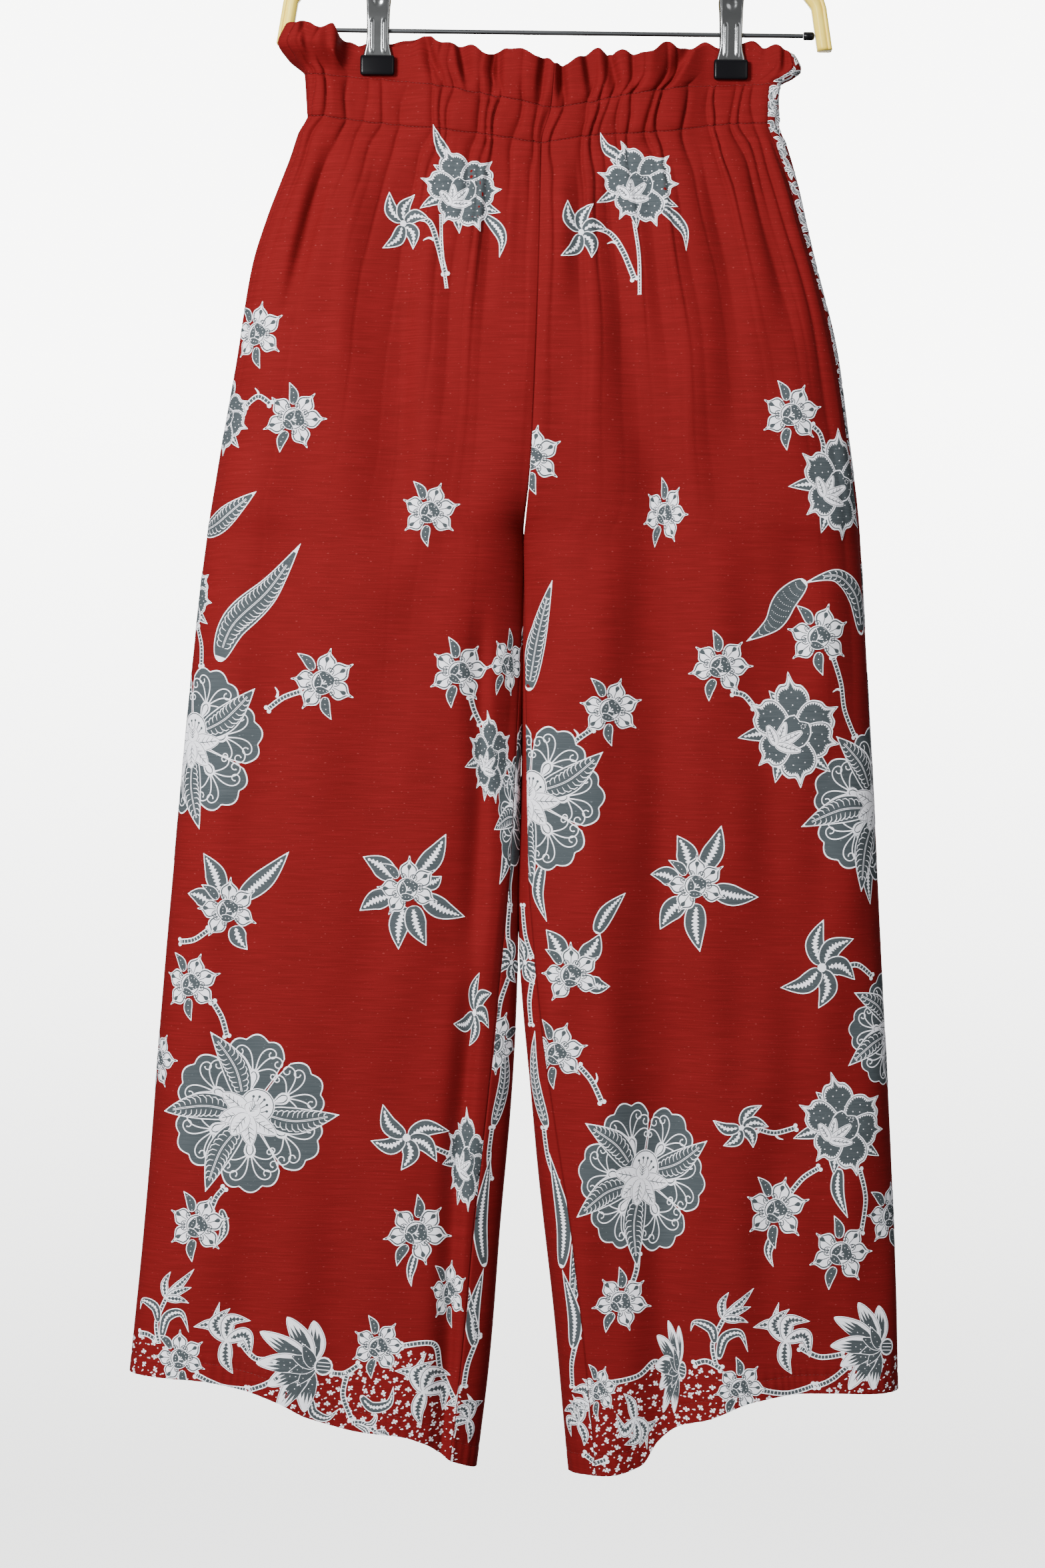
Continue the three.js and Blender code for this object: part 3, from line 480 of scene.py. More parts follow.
# Printed cotton: three tones of one colour, by slubs and cloudy dye, and rare neps
def clothMaterial(name, dark, middle, light, fleck):
    made, nodes, links, surface = newMaterial(name)
    coordinates = nodes.new("ShaderNodeUVMap")
    coordinates.uv_map = "cloth"
    weave = nodes.new("ShaderNodeGroup")
    weave.node_tree = plainWeave
    links.new(coordinates.outputs["UV"], weave.inputs["Coordinates"])
    clouds = nodes.new("ShaderNodeTexNoise")
    clouds.inputs["Scale"].default_value = 26
    clouds.inputs["Detail"].default_value = 3
    links.new(coordinates.outputs["UV"], clouds.inputs["Vector"])
    centred = nodes.new("ShaderNodeMapRange")
    centred.inputs["To Min"].default_value = -cotton["cloud"] / 2
    centred.inputs["To Max"].default_value = cotton["cloud"] / 2
    links.new(clouds.outputs["Fac"], centred.inputs["Value"])
    both = nodes.new("ShaderNodeMath")
    links.new(centred.outputs["Result"], both.inputs[0])
    links.new(weave.outputs["Slub"], both.inputs[1])
    tones = nodes.new("ShaderNodeValToRGB")
    tones.color_ramp.elements[0].color = (*dark, 1)
    tones.color_ramp.elements[1].color = (*light, 1)
    tones.color_ramp.elements.new(0.5).color = (*middle, 1)
    links.new(both.outputs["Value"], tones.inputs["Fac"])
    flecks = nodes.new("ShaderNodeMix")
    flecks.data_type = "RGBA"
    flecks.inputs[7].default_value = (*fleck, 1)
    links.new(weave.outputs["Nep"], flecks.inputs["Factor"])
    links.new(tones.outputs["Color"], flecks.inputs[6])
    links.new(flecks.outputs[2], surface.inputs["Base Color"])
    relief = nodes.new("ShaderNodeBump")
    relief.inputs["Strength"].default_value = cotton["bump"]
    relief.inputs["Distance"].default_value = cotton["relief"]
    links.new(weave.outputs["Height"], relief.inputs["Height"])
    links.new(relief.outputs["Normal"], surface.inputs["Normal"])
    surface.inputs["Roughness"].default_value = cotton["roughness"]
    surface.inputs["Specular IOR Level"].default_value = cotton["shine"]
    return made


redCloth = clothMaterial("redCloth", (0.120, 0.0034, 0.0034), (0.139, 0.0041, 0.0045),
                         (0.163, 0.0054, 0.0064), (0.20, 0.020, 0.020))
printWhite = clothMaterial("printWhite", (0.84, 0.84, 0.90), (0.91, 0.91, 0.97), (0.96, 0.96, 1.0),
                           (0.95, 0.95, 0.96))
printGrey = clothMaterial("printGrey", (0.045, 0.056, 0.062), (0.056, 0.068, 0.074), (0.068, 0.080, 0.087),
                          (0.12, 0.14, 0.15))


def plainMaterial(name, colour, roughness, metallic=0.0, shine=0.5):
    made, _, _, surface = newMaterial(name)
    surface.inputs["Base Color"].default_value = (*colour, 1)
    surface.inputs["Roughness"].default_value = roughness
    surface.inputs["Metallic"].default_value = metallic
    surface.inputs["Specular IOR Level"].default_value = shine
    return made


# Pale lacquered wood, its grain along the arms
def woodMaterial():
    made, nodes, links, surface = newMaterial("paleWood")
    coordinates = nodes.new("ShaderNodeTexCoord")
    mapping = nodes.new("ShaderNodeMapping")
    mapping.inputs["Scale"].default_value = (90, 60, 14)
    grain = nodes.new("ShaderNodeTexNoise")
    grain.inputs["Scale"].default_value = 4
    grain.inputs["Detail"].default_value = 6
    grain.inputs["Distortion"].default_value = 1.2
    tones = nodes.new("ShaderNodeValToRGB")
    tones.color_ramp.elements[0].color = (0.97, 0.67, 0.06, 1)
    tones.color_ramp.elements[0].position = 0.3
    tones.color_ramp.elements[1].color = (1.0, 0.80, 0.13, 1)
    tones.color_ramp.elements[1].position = 0.68
    relief = nodes.new("ShaderNodeBump")
    relief.inputs["Strength"].default_value = 0.12
    relief.inputs["Distance"].default_value = 0.0004
    links.new(coordinates.outputs["Object"], mapping.inputs["Vector"])
    links.new(mapping.outputs["Vector"], grain.inputs["Vector"])
    links.new(grain.outputs["Fac"], tones.inputs["Fac"])
    links.new(tones.outputs["Color"], surface.inputs["Base Color"])
    links.new(grain.outputs["Fac"], relief.inputs["Height"])
    links.new(relief.outputs["Normal"], surface.inputs["Normal"])
    surface.inputs["Roughness"].default_value = 0.38
    surface.inputs["Specular IOR Level"].default_value = 0.3
    return made


paleWood = woodMaterial()
chrome = plainMaterial("chrome", (0.235, 0.242, 0.245), 0.2, metallic=1)
rodSteel = plainMaterial("rodSteel", (0.10, 0.105, 0.11), 0.4, metallic=1)
blackVinyl = plainMaterial("blackVinyl", (0.004, 0.004, 0.005), 0.26, shine=0.12)
threadRed = plainMaterial("threadRed", (0.125, 0.0040, 0.0035), 0.7)

# The cloth's twelve sheets: a leg, a casing and a ruffle from each panel
panels = ((11, "right", "front"), (12, "left", "front"), (13, "right", "back"), (14, "left", "back"))
surfaces = {f"{side} {face}": makeSurface(side, face, seed) for seed, side, face in panels}
partRows = {"ruffle": slice(0, len(ruffleLevels)), "casing": slice(len(ruffleLevels), -len(legLevels)),
            "leg": slice(-len(legLevels), None)}


def wallAt(levels):
    onLeg = mix(cloth["wall"], cloth["hemWall"], ease(985, hemLine, levels))
    above = [levels < -casingHeight, levels < 0]
    return np.select(above, [cloth["ruffleWall"], cloth["casingWall"]], onLeg)


def clothPiece(surface, part):
    side, face, rows = surface["side"], surface["face"], partRows[part]
    points, normals = surface["points"][rows], surface["normals"][rows]
    inside = points - normals * wallAt(surface["levels"][rows])[:, None, None]
    corners = np.concatenate([points.reshape(-1, 3), inside.reshape(-1, 3)])
    u = surface["across"][None, :] * surface["baseLength"][rows][:, None] * surface["away"]
    flat = np.stack([u, -surface["drop"][rows]], axis=2).reshape(-1, 2)
    faces = facesOut(corners, shellFaces(points.shape[0], points.shape[1]))
    made = addMesh(f"{side}_{face}_{part}_cloth", corners, faces, redCloth, np.concatenate([flat, flat]))
    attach(made, "root")
    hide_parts(f"{side}_{face}_{part}")
    widest = np.linalg.norm(np.diff(points, axis=1), axis=2).sum(axis=1).max()
    long = np.linalg.norm(np.diff(points, axis=0), axis=2).sum(axis=0).mean()
    print("sheet", made.name, "widest", round(widest, 1), "long", round(long, 1), "faces", len(faces))
    return made


# Each sheet's width, length and, where it isn't a rectangle, its area, in metres, and how it is held
flatCuts = {"leg": (0.33, 1.05, 0.31, "hung"), "casing": (0.235, 0.034, None, "gathered"),
            "ruffle": (0.24, 0.034, None, "gathered")}
for surface in surfaces.values():
    for part, (width, length, area, held) in flatCuts.items():
        made = clothPiece(surface, part)
print("cloth made")

# The print: each motif is a list of flat shapes, the later ones on top, in millimetres with Y downward. Its
# tones are white, grey or bare, and the shapes are cut into triangles that follow the cloth.
white, grey, bare = 2, 1, 0
scatter = np.random.default_rng(7)


def smoothPath(points, spacing=1.4, closed=False):
    points = np.asarray(points, float)
    count = len(points)
    pieces = []
    for i in range(count if closed else count - 1):
        before, a, b, after = (points[j % count] if closed else points[min(max(j, 0), count - 1)]
                               for j in (i - 1, i, i + 1, i + 2))
        steps = max(2, int(np.linalg.norm(b - a) / spacing))
        t = np.arange(steps)[:, None] / steps
        pieces.append(0.5 * (2 * a + (b - before) * t + (2 * before - 5 * a + 4 * b - after) * t ** 2
                             + (3 * a - before - 3 * b + after) * t ** 3))
    if not closed:
        pieces.append(points[-1:])
    return np.concatenate(pieces)


# The outline of a band along a path, with its half width at each point
def band(path, half):
    path = np.asarray(path, float)
    along = np.gradient(path, axis=0)
    along /= np.maximum(np.linalg.norm(along, axis=1, keepdims=True), 1e-6)
    sideways = np.stack([-along[:, 1], along[:, 0]], axis=1) * np.broadcast_to(half, len(path))[:, None]
    return np.concatenate([path + sideways, (path - sideways)[::-1]])


def turned(shapes, degrees=0.0, x=0.0, y=0.0):
    a = math.radians(degrees)
    turn = np.array([[math.cos(a), math.sin(a)], [-math.sin(a), math.cos(a)]])
    return [(tone, outline @ turn + (x, y)) for tone, outline in shapes]


def disc(x, y, radius, count=7):
    a = np.linspace(0, 2 * np.pi, count, endpoint=False)
    return np.stack([x + radius * np.cos(a), y + radius * np.sin(a)], axis=1)


# An outline drawn in towards a point on the Y axis, by one factor or by one for each corner
def shrunk(outline, factor, middle=0.0):
    return (outline - (0, middle)) * np.reshape(factor, (-1, 1)) + (0, middle)


def pathFrame(path):
    along = np.gradient(path, axis=0)
    along /= np.maximum(np.linalg.norm(along, axis=1, keepdims=True), 1e-6)
    return along, np.stack([-along[:, 1], along[:, 0]], axis=1)


# A pointed leaf along a curved path. Inside it are a jagged midrib, one with veins, dots along the middle or
# rows of dots. A pale leaf is white with a grey line inside its edge.
def leaf(path, width, rib="jagged", rim=0.85, pale=False):
    path = smoothPath(path, min(1.2, math.dist(path[0], path[-1]) / 16))
    t = np.linspace(0, 1, len(path))
    half = width / 2 * np.sin(np.pi * t ** 0.74) ** np.where(t < 0.4, 0.75, 1.3) + 0.2
    inside = slice(max(1, len(t) // 16), len(t) - max(2, len(t) // 10))
    line, blade = (white, grey) if not pale else (grey, white)
    shapes = [(white, band(path, half)), (grey, band(path[inside], np.maximum(half[inside] - rim, 0.2)))]
    if pale:
        shapes.append((white, band(path[inside], np.maximum(half[inside] - rim - 0.55, 0.15))))
    ribs = slice(len(t) // 8, len(t) - len(t) // 5)
    along, sideways = pathFrame(path)
    if rib == "jagged":
        teeth = np.where(np.arange(len(t)) % 2, 0.5 if pale else 0.38, 0.1)[ribs]
        fading = np.sin(np.pi * t[ribs]) ** 0.5
        shapes.append((line, band(path[ribs] + along[ribs] * teeth[:, None] * 1.2,
                                  np.maximum(teeth * half[ribs] * fading, 0.22))))
    elif rib == "dots":
        shapes += [(line, disc(*place, 0.36, 5)) for place in path[ribs][::3]]
    elif rib == "veins":
        shapes += [(line, band(path[ribs], 0.65)), (blade, band(path[ribs], 0.28))]
        stride = max(2, round(3.7 * len(t) / math.dist(path[0], path[-1])))
        for i in range(ribs.start, ribs.stop, stride):
            for sign in (-1, 1):
                reach = max(half[i] - rim - 1.0, 0.4)
                vein = path[i] + np.outer([0, 0.1, 0.55, 1], along[i] * reach * 0.7)
                vein += np.outer([0.3, 0.7, 0.95, 0.9], sideways[i] * sign * reach)
                shapes.append((line, band(vein, [0.15, 0.36, 0.38, 0.2])))
    elif rib == "rows":
        for i in range(ribs.start, ribs.stop, 4):
            for share in np.arange(-0.77, 0.8, 0.22):
                aside = sideways[i] * share * (half[i] - rim - 0.4)
                place = path[i] + aside + along[i] * (1 - share ** 2) * 2.2
                shapes.append((line, disc(*place, 0.32, 5)))
    return shapes


# A small white leaf with grey veins, for the hearts of blossoms
def veinedLeaf(length, width):
    path = smoothPath([(0, 0), (0.03 * length, -length / 2), (0, -length)], min(1.6, length / 9))
    t = np.linspace(0, 1, len(path))
    half = width / 2 * np.sin(np.pi * t ** 0.8) ** 0.9 + 0.2
    shapes = [(white, band(path, half + 0.9)), (grey, band(path, half + 0.45)), (white, band(path, half)),
              (grey, band(path[2:-2], 0.3))]
    for share in np.arange(0.24, 0.8, 0.16):
        reach = width * 0.3 * math.sin(math.pi * share)
        for sign in (-1, 1):
            vein = np.array([(0, -length * share), (sign * reach, -length * share - reach * 0.9)])
            shapes.append((grey, band(vein, [0.3, 0.15])))
    return shapes


# A curl that tightens into a spiral with a knob
def curl(x, y, degrees, length, turn, half=0.5, tone=white, tighten=3.0):
    s = 1 - (1 - np.linspace(0, 1, max(12, int(length / 0.9)))) ** 1.35
    heading = math.radians(degrees) + turn * s ** tighten
    stride = np.stack([np.sin(heading), -np.cos(heading)], axis=1) * (np.diff(s, prepend=0) * length)[:, None]
    path = (x, y) + np.cumsum(stride, axis=0)
    return [(tone, band(path, half * mix(1.0, 0.8, s))), (tone, disc(*path[-1], half * 1.3, 6))]


def teardrop(length, width, degrees, x, y, tone):
    t = np.linspace(0, 1, 8)
    path = np.stack([0 * t, -t * length], axis=1)
    half = width / 2 * np.sin(np.pi * (0.06 + 0.9 * t) ** 1.7) ** 0.8 + 0.15
    return turned([(tone, band(path, half))], degrees, x, y)


# Both sides of an outline that is given down its right side, by shares of its width and length
def mirroredOutline(rightSide, width, length, lean=0.0, spacing=1.15):
    right = np.array(rightSide, float)
    left = right[::-1] * (-1, 1)
    both = np.concatenate([right, left]) * (width, length)
    both[:, 0] += lean * (both[:, 1] / length) ** 2 * length
    return smoothPath(both, spacing, closed=True)


# A grey petal with dots, a ragged white border and a drawn-out tip
def raggedPetal(length, width, lean=0.0):
    side = [(0.1, 0), (0.32, -0.2), (0.5, -0.44), (0.53, -0.66), (0.36, -0.82), (0.14, -0.86), (0.02, -1.04)]
    outline = mirroredOutline(side, width, length, lean)
    middle = -0.46 * length
    teeth = np.where(np.arange(len(outline)) % 2, 0.87, 0.76) + scatter.uniform(-0.02, 0.02, len(outline))
    teeth -= 0.1 * ease(-0.7, -1.0, outline[:, 1] / length)
    shapes = [(white, outline), (grey, shrunk(outline, 0.93, middle)),
              (white, shrunk(outline, 0.885, middle)), (grey, shrunk(outline, teeth, middle))]
    for x, y in ((0, -0.26), (-0.15, -0.38), (0.15, -0.38), (0, -0.48), (-0.17, -0.6), (0.17, -0.6),
                 (0, -0.7)):
        shapes.append((white, disc(x * width + lean * y * y * length, y * length, 0.5, 5)))
    return shapes


# A large open blossom of ragged dotted petals, seen from three quarters
def ragBlossom(radius):
    shapes = []
    for degrees, long in ((-46, 0.98), (249, 1.12), (184, 1.06), (120, 1.08)):
        path = [(0, -0.3 * radius), (1.4, -0.64 * radius), (-0.6, -long * radius)]
        shapes += turned(leaf(path, radius * 0.3, rim=0.8), degrees)
    for degrees, long, wide, lean in ((-16, 1.16, 0.64, -0.1), (36, 1.0, 0.7, 0.12), (90, 0.92, 0.7, -0.06),
                                      (150, 1.04, 0.7, 0.1), (216, 0.9, 0.64, -0.1), (283, 1.02, 0.66, 0.08)):
        shapes += turned(raggedPetal(radius * long, radius * wide, lean), degrees)
    heart = smoothPath([(-0.34, 0.14), (-0.34, -0.26), (-0.12, -0.46), (0.06, -0.34), (0.3, -0.36),
                        (0.44, -0.1), (0.36, 0.24), (0.1, 0.36)], 1, True) * radius * 0.72
    shapes += [(white, heart * 1.08), (grey, heart)]
    shapes += [(white, disc(*place, 0.42, 5)) for place in heart[::2] * 0.86]
    for k in range(6):
        a = k * math.pi / 3
        x, y = 0.14 * radius + 1.6 * math.cos(a), -0.18 * radius + 1.6 * math.sin(a)
        shapes.append((white, disc(x, y, 0.45, 5)))
    for degrees, long, x, y in ((4, 0.5, -0.26, 0.34), (46, 0.6, -0.28, 0.34), (88, 0.52, -0.28, 0.32),
                                (-40, 0.44, -0.26, 0.34)):
        shapes += turned(veinedLeaf(radius * long, radius * 0.16), degrees, x * radius, y * radius)
    return shapes


# A star of five white petals with grey scrolls, two dark leaves and a grey heart
def starBlossom(radius, leaves=(-44, 164)):
    long = 1.26 * radius
    shapes = []
    for degrees in leaves:
        path = [(0, -0.45 * long), (1.4, -0.78 * long), (-1.4, -1.16 * long)]
        shapes += turned(leaf(path, 0.3 * long, "dots", 0.75), degrees)
    side = [(0.07, -0.16), (0.2, -0.34), (0.29, -0.54), (0.27, -0.7), (0.14, -0.82), (0.05, -0.9),
            (0.02, -1.04)]
    for degrees, reach in ((2, 1.0), (54, 1.02), (112, 0.98), (214, 0.96), (272, 0.92)):
        outline = mirroredOutline(side, long, long * reach, scatter.uniform(-0.05, 0.05))
        middle = -0.56 * long
        petal = [(white, outline), (grey, shrunk(outline, 0.88, middle)),
                 (white, shrunk(outline, 0.75, middle))]
        petal += teardrop(0.2 * long, 0.12 * long, 0, 0, -0.58 * long, grey)
        petal.append((grey, band(np.array([(0, -0.3 * long), (0, -0.6 * long)]), 0.28)))
        for sign in (-1, 1):
            petal += curl(sign * 0.05 * long, -0.32 * long, 2 * sign, 0.52 * long, sign * 6.4, 0.36, grey,
                          1.8)
        shapes += turned(petal, degrees + scatter.uniform(-4, 4))
    a = np.linspace(0, 2 * np.pi, 40, endpoint=False)
    lobes = 0.24 * long * (1 + 0.14 * np.cos(3 * a + 0.4))
    heart = np.stack([np.cos(a), np.sin(a)], axis=1) * lobes[:, None]
    heart += (0.08 * long, -0.06 * long)
    around = disc(0, 0, 1, 20)
    shapes += [(white, around * 0.36 * long), (grey, around * 0.335 * long), (white, around * 0.305 * long),
               (grey, heart)]
    for k in range(7):
        a = math.radians(-150 + k * 35)
        place = (0.08 * long + 0.17 * long * math.cos(a), -0.05 * long + 0.17 * long * math.sin(a))
        shapes.append((white, disc(*place, 0.38, 5)))
    stamen = [(white, band(np.array([(0, 0), (0, -0.14 * long)]), [0.2, 0.5]))]
    for degrees in (0, 40, 80):
        shapes += turned(stamen, degrees, 0, 0.06 * long)
    for degrees, x, y in ((2, -0.16, 0.2), (92, -0.2, 0.24)):
        almond = leaf([(0, 0), (0.4, -0.22 * long), (0, -0.46 * long)], 0.24 * long, "dots", 0.5)
        shapes += turned(almond, degrees, x * long, y * long)
    return shapes


# A star with longer leaves round it; each leaf is its tip's place from the centre
def leafStar(radius, tips):
    shapes = []
    for x, y in tips:
        away = math.hypot(x, y)
        start = np.array([x, y]) / away * radius * 0.7
        bend = np.array([-y, x]) / away * 2.2
        shapes += leaf([start, (start + (x, y)) / 2 + bend, (x, y)], min(16, 0.33 * away + 2.5))
    return shapes + starBlossom(radius, (-44,))


# A great blossom of scalloped grey petals with white curls, and feathered leaves between them
def curlBlossom(radius, petals=(-34, 26, 80, 138, 204, 262), leaves=(53, 171, 232, -64)):
    shapes = []
    for degrees in petals:
        scallops = np.linspace(-27, 27, 41)
        reach = radius * (0.95 + 0.06 * np.abs(np.cos(np.radians(scallops) * 10)) - 0.00017 * scallops ** 2)
        rim = np.stack([reach * np.sin(np.radians(scallops)), -reach * np.cos(np.radians(scallops))], axis=1)
        flank = smoothPath([(0.1 * radius, -0.2 * radius), (0.28 * radius, -0.5 * radius), rim[-1]], 2.5)
        outline = np.concatenate([(flank * (-1, 1))[:-1], rim, flank[-2::-1]])
        petal = [(white, outline), (grey, shrunk(outline, 0.955, -0.6 * radius))]
        base = -0.52 * radius
        for sign in (-1, 1):
            for angle, long in ((7, 0.68), (33, 0.68), (64, 0.52)):
                petal += curl(sign * 0.015 * radius, base, sign * angle, long * radius, sign * 7.0)
        petal.append((white, band(np.array([(0, -0.1 * radius), (0, -0.4 * radius)]), [0.4, 0.8])))
        petal += teardrop(0.26 * radius, 0.15 * radius, 0, 0, -0.3 * radius, white)
        petal += teardrop(0.2 * radius, 0.1 * radius, 0, 0, -0.33 * radius, grey)
        petal += teardrop(0.18 * radius, 0.07 * radius, 0, 0, -0.34 * radius, white)
        shapes += turned(petal, degrees)
    for degrees in leaves:
        path = [(0, -0.2 * radius), (0.06 * radius, -0.6 * radius), (-0.05 * radius, -1.14 * radius)]
        shapes += turned(leaf(path, 0.34 * radius, "veins", 0.9), degrees)
    shapes += [(tone, disc(0.02 * radius, -0.14 * radius, 0.2 * radius + rim, 22))
               for tone, rim in ((white, 1.4), (grey, 0.7), (white, 0))]
    for k in range(5):
        a = math.radians(-46 + k * 26)
        tip = (radius * (0.02 + 0.16 * math.sin(a)), -radius * (0.06 + 0.2 * math.cos(a)))
        shapes += [(grey, band(np.array([(0.02 * radius, 0), tip]), 0.35)), (grey, disc(*tip, 1.1, 7))]
    for degrees, long in ((84, 0.44), (-92, 0.42), (134, 0.4), (-140, 0.38), (-4, 0.2), (178, 0.34)):
        shapes += turned(veinedLeaf(radius * long, radius * 0.2), degrees, 0, 0.02 * radius)
    return shapes


# A spray of five dark leaves from one point
def spray(radius, angles=(-24, 22, 82, 158, 218)):
    shapes = []
    for degrees, long in zip(angles, (1.04, 0.94, 0.8, 0.88, 1.0)):
        path = [(0, -0.06 * radius), (-0.12 * radius, -0.5 * long * radius), (0.1 * radius, -long * radius)]
        shapes += turned(leaf(path, radius * 0.42), degrees)
    return shapes + [(white, disc(0, 0, 0.1 * radius, 8))]


# A spray of thick white leaves that curve to hooked tips, over a dark one
def whiteSpray(radius):
    dark = leaf([(0, 0), (-0.2 * radius, -0.5 * radius), (0.06 * radius, -1.1 * radius)], 0.24 * radius)
    shapes = turned(dark, -14)
    for degrees, long, bend in ((-62, 1.0, 0.2), (-4, 0.9, -0.3), (40, 0.86, -0.3), (112, 0.8, -0.34),
                                (172, 0.95, 0.1)):
        path = [(0, 0), (bend * radius, -0.55 * long * radius), (-bend * 0.5 * radius, -long * radius)]
        shapes += turned(leaf(path, radius * 0.4, rim=0.6, pale=True), degrees)
    return shapes


# A hatched white stem with forked ends
def stem(points, width=3.9, forked=True):
    path = smoothPath(points, 1.2)
    along, sideways = pathFrame(path)
    half = np.full(len(path), width / 2)
    half[0] = half[-1] = width * 0.62
    shapes = []
    if forked:
        for end in (0, -1):
            shapes += [(white, disc(*(path[end] + sideways[end] * sign * width * 0.42), width * 0.42, 8))
                       for sign in (-1, 1)]
    shapes += [(white, band(path, half)), (grey, band(path[1:-1], width / 2 - 0.85))]
    for i in range(2, len(path) - 2, 2):
        shapes.append((white, band(path[i] + np.outer([0, 0.5], along[i]), width / 2 - 0.7)))
    return shapes


def thorn(degrees, size=7.0):
    path = smoothPath([(0, 0), (-0.1 * size, -0.6 * size), (-0.6 * size, -size)], 1.3)
    return turned([(white, band(path, np.linspace(1.3, 0.3, len(path))))], degrees)


# A half-open lotus: a fan of dotted petals with ragged white tips over a hatched knob
def lotus(radius):
    shapes = []
    for degrees, long in ((-86, 0.78), (84, 0.74), (-58, 0.96), (56, 0.92), (-30, 0.82), (26, 1.04),
                          (-4, 0.94)):
        length, width = radius * long, radius * 0.32
        path = smoothPath([(0, -0.08 * radius), (0.04 * radius, -0.5 * length), (0, -length)], 1.2)
        t = np.linspace(0, 1, len(path))
        half = width / 2 * np.sin(np.pi * t ** 0.8) ** 0.85 + 0.25
        body = path[2:-3]
        petal = [(white, band(path, half)), (grey, band(body, np.maximum(half[2:-3] - 0.7, 0.2))),
                 (white, band(body, np.maximum(half[2:-3] - 1.05, 0.15)))]
        zigzag = np.linspace(1, -1, 9)
        teeth = np.where(np.arange(9) % 2, 0.84 - 0.2 * zigzag ** 2, 0.58)
        crown = np.stack([zigzag * 0.74 * width / 2, -length * teeth], axis=1)
        right = [(0.12 * width, -0.1 * radius), (0.34 * width, -0.34 * length)]
        left = [(-0.34 * width, -0.34 * length), (-0.12 * width, -0.1 * radius)]
        petal.append((grey, np.concatenate([right, crown, left])))
        petal += [(white, disc(x * width, -y * length, 0.45, 5))
                  for x, y in ((0, 0.3), (-0.14, 0.4), (0.14, 0.4), (0, 0.5))]
        shapes += turned(petal, degrees)
    for degrees in (-58, -20, 20, 58):
        path = [(0, 0.04 * radius), (0, -0.2 * radius), (0, -0.42 * radius)]
        shapes += turned(leaf(path, radius * 0.2, "dots", 0.5), degrees)
    knob = disc(0, 0.17 * radius, 0.14 * radius, 14)
    shapes += [(white, shrunk(knob, 1.12, 0.17 * radius)), (grey, shrunk(knob, 0.9, 0.17 * radius))]
    for x in (-0.06, 0, 0.06):
        hatch = np.array([(x * radius, 0.07 * radius), (x * radius, 0.27 * radius)])
        shapes.append((white, band(hatch, 0.3)))
    return shapes


# A sprig on a curved stem with a bud of pale leaves and two crescents
def sprig(height):
    unit = height / 36
    shapes = stem([(0, 0), (-2.5 * unit, -16 * unit), (6 * unit, -36 * unit)], 3.6, forked=False)
    for tipX, tipY, bend in ((9, -55, -3), (28, -58, 2), (26, -44, 0), (24, -32, 3)):
        path = np.array([(5, -35), ((5 + tipX) / 2 + bend, (tipY - 35) / 2 - 1), (tipX, tipY)]) * unit
        shapes += leaf(path, 6.4 * unit, rim=0.55, pale=True)
    for path in ([(-1, -16), (-4, -27), (-16, -31), (-19, -24)], [(2, -4), (6, -20), (18, -24), (24, -10)]):
        shapes += leaf(np.array(path) * unit, 7.4 * unit, rim=0.7)
    return shapes


def crescent(radius):
    return leaf([(-radius, -0.3 * radius), (-0.5 * radius, 0.5 * radius), (0.5 * radius, 0.5 * radius),
                 (radius, -0.4 * radius)], 0.62 * radius, rim=0.7)


# A small three-lobed flower
def floret(radius):
    shapes = [(white, disc(radius * math.sin(a), -radius * math.cos(a), radius * 0.58, 7))
              for a in (-1.35, 0, 1.35)]
    stalk = np.array([(0, -0.4 * radius), (0, 0.3 * radius), (0.3 * radius, 0.95 * radius)])
    return shapes + [(white, band(stalk, [0.5, 0.5, 0.2]))]


# A grid's values between its rows and columns
def sampleGrid(values, row, column):
    r = np.clip(np.floor(row).astype(int), 0, values.shape[0] - 2)
    c = np.clip(np.floor(column).astype(int), 0, values.shape[1] - 2)
    a, b = row - r, column - c
    if values.ndim == 3:
        a, b = a[:, None], b[:, None]
    return ((1 - a) * ((1 - b) * values[r, c] + b * values[r, c + 1])
            + a * ((1 - b) * values[r + 1, c] + b * values[r + 1, c + 1]))


# Where flat places lie on a panel, by their distance along the cloth from a line down it. The line is where
# the panel has the X of middle or, with an inset, lies that far from the inseam.
def findOn(surface, middle, x, drop, inset=None):
    side, face, away, levels = surface["side"], surface["face"], surface["away"], surface["levels"]
    if inset is None:
        rising = np.maximum.accumulate(surface["x"] * away, axis=1)
        lineU = np.array([np.interp(middle * away, row, surface["across"]) for row in rising])
    else:
        lineU = inset / surface["baseLength"]
    share = np.full(len(drop), 0.5)
    for _ in range(6):
        level = levelAt(side, face, drop, share)
        length = np.interp(level, levels, surface["baseLength"])
        u = np.interp(level, levels, lineU) + away * (x - middle) / length
        row = np.interp(level, levels, np.arange(len(levels)))
        share = np.clip(sampleGrid(surface["share"], row, np.clip(u, 0, 1) * cloth["columns"]), 0, 1)
    return u, level, row, length


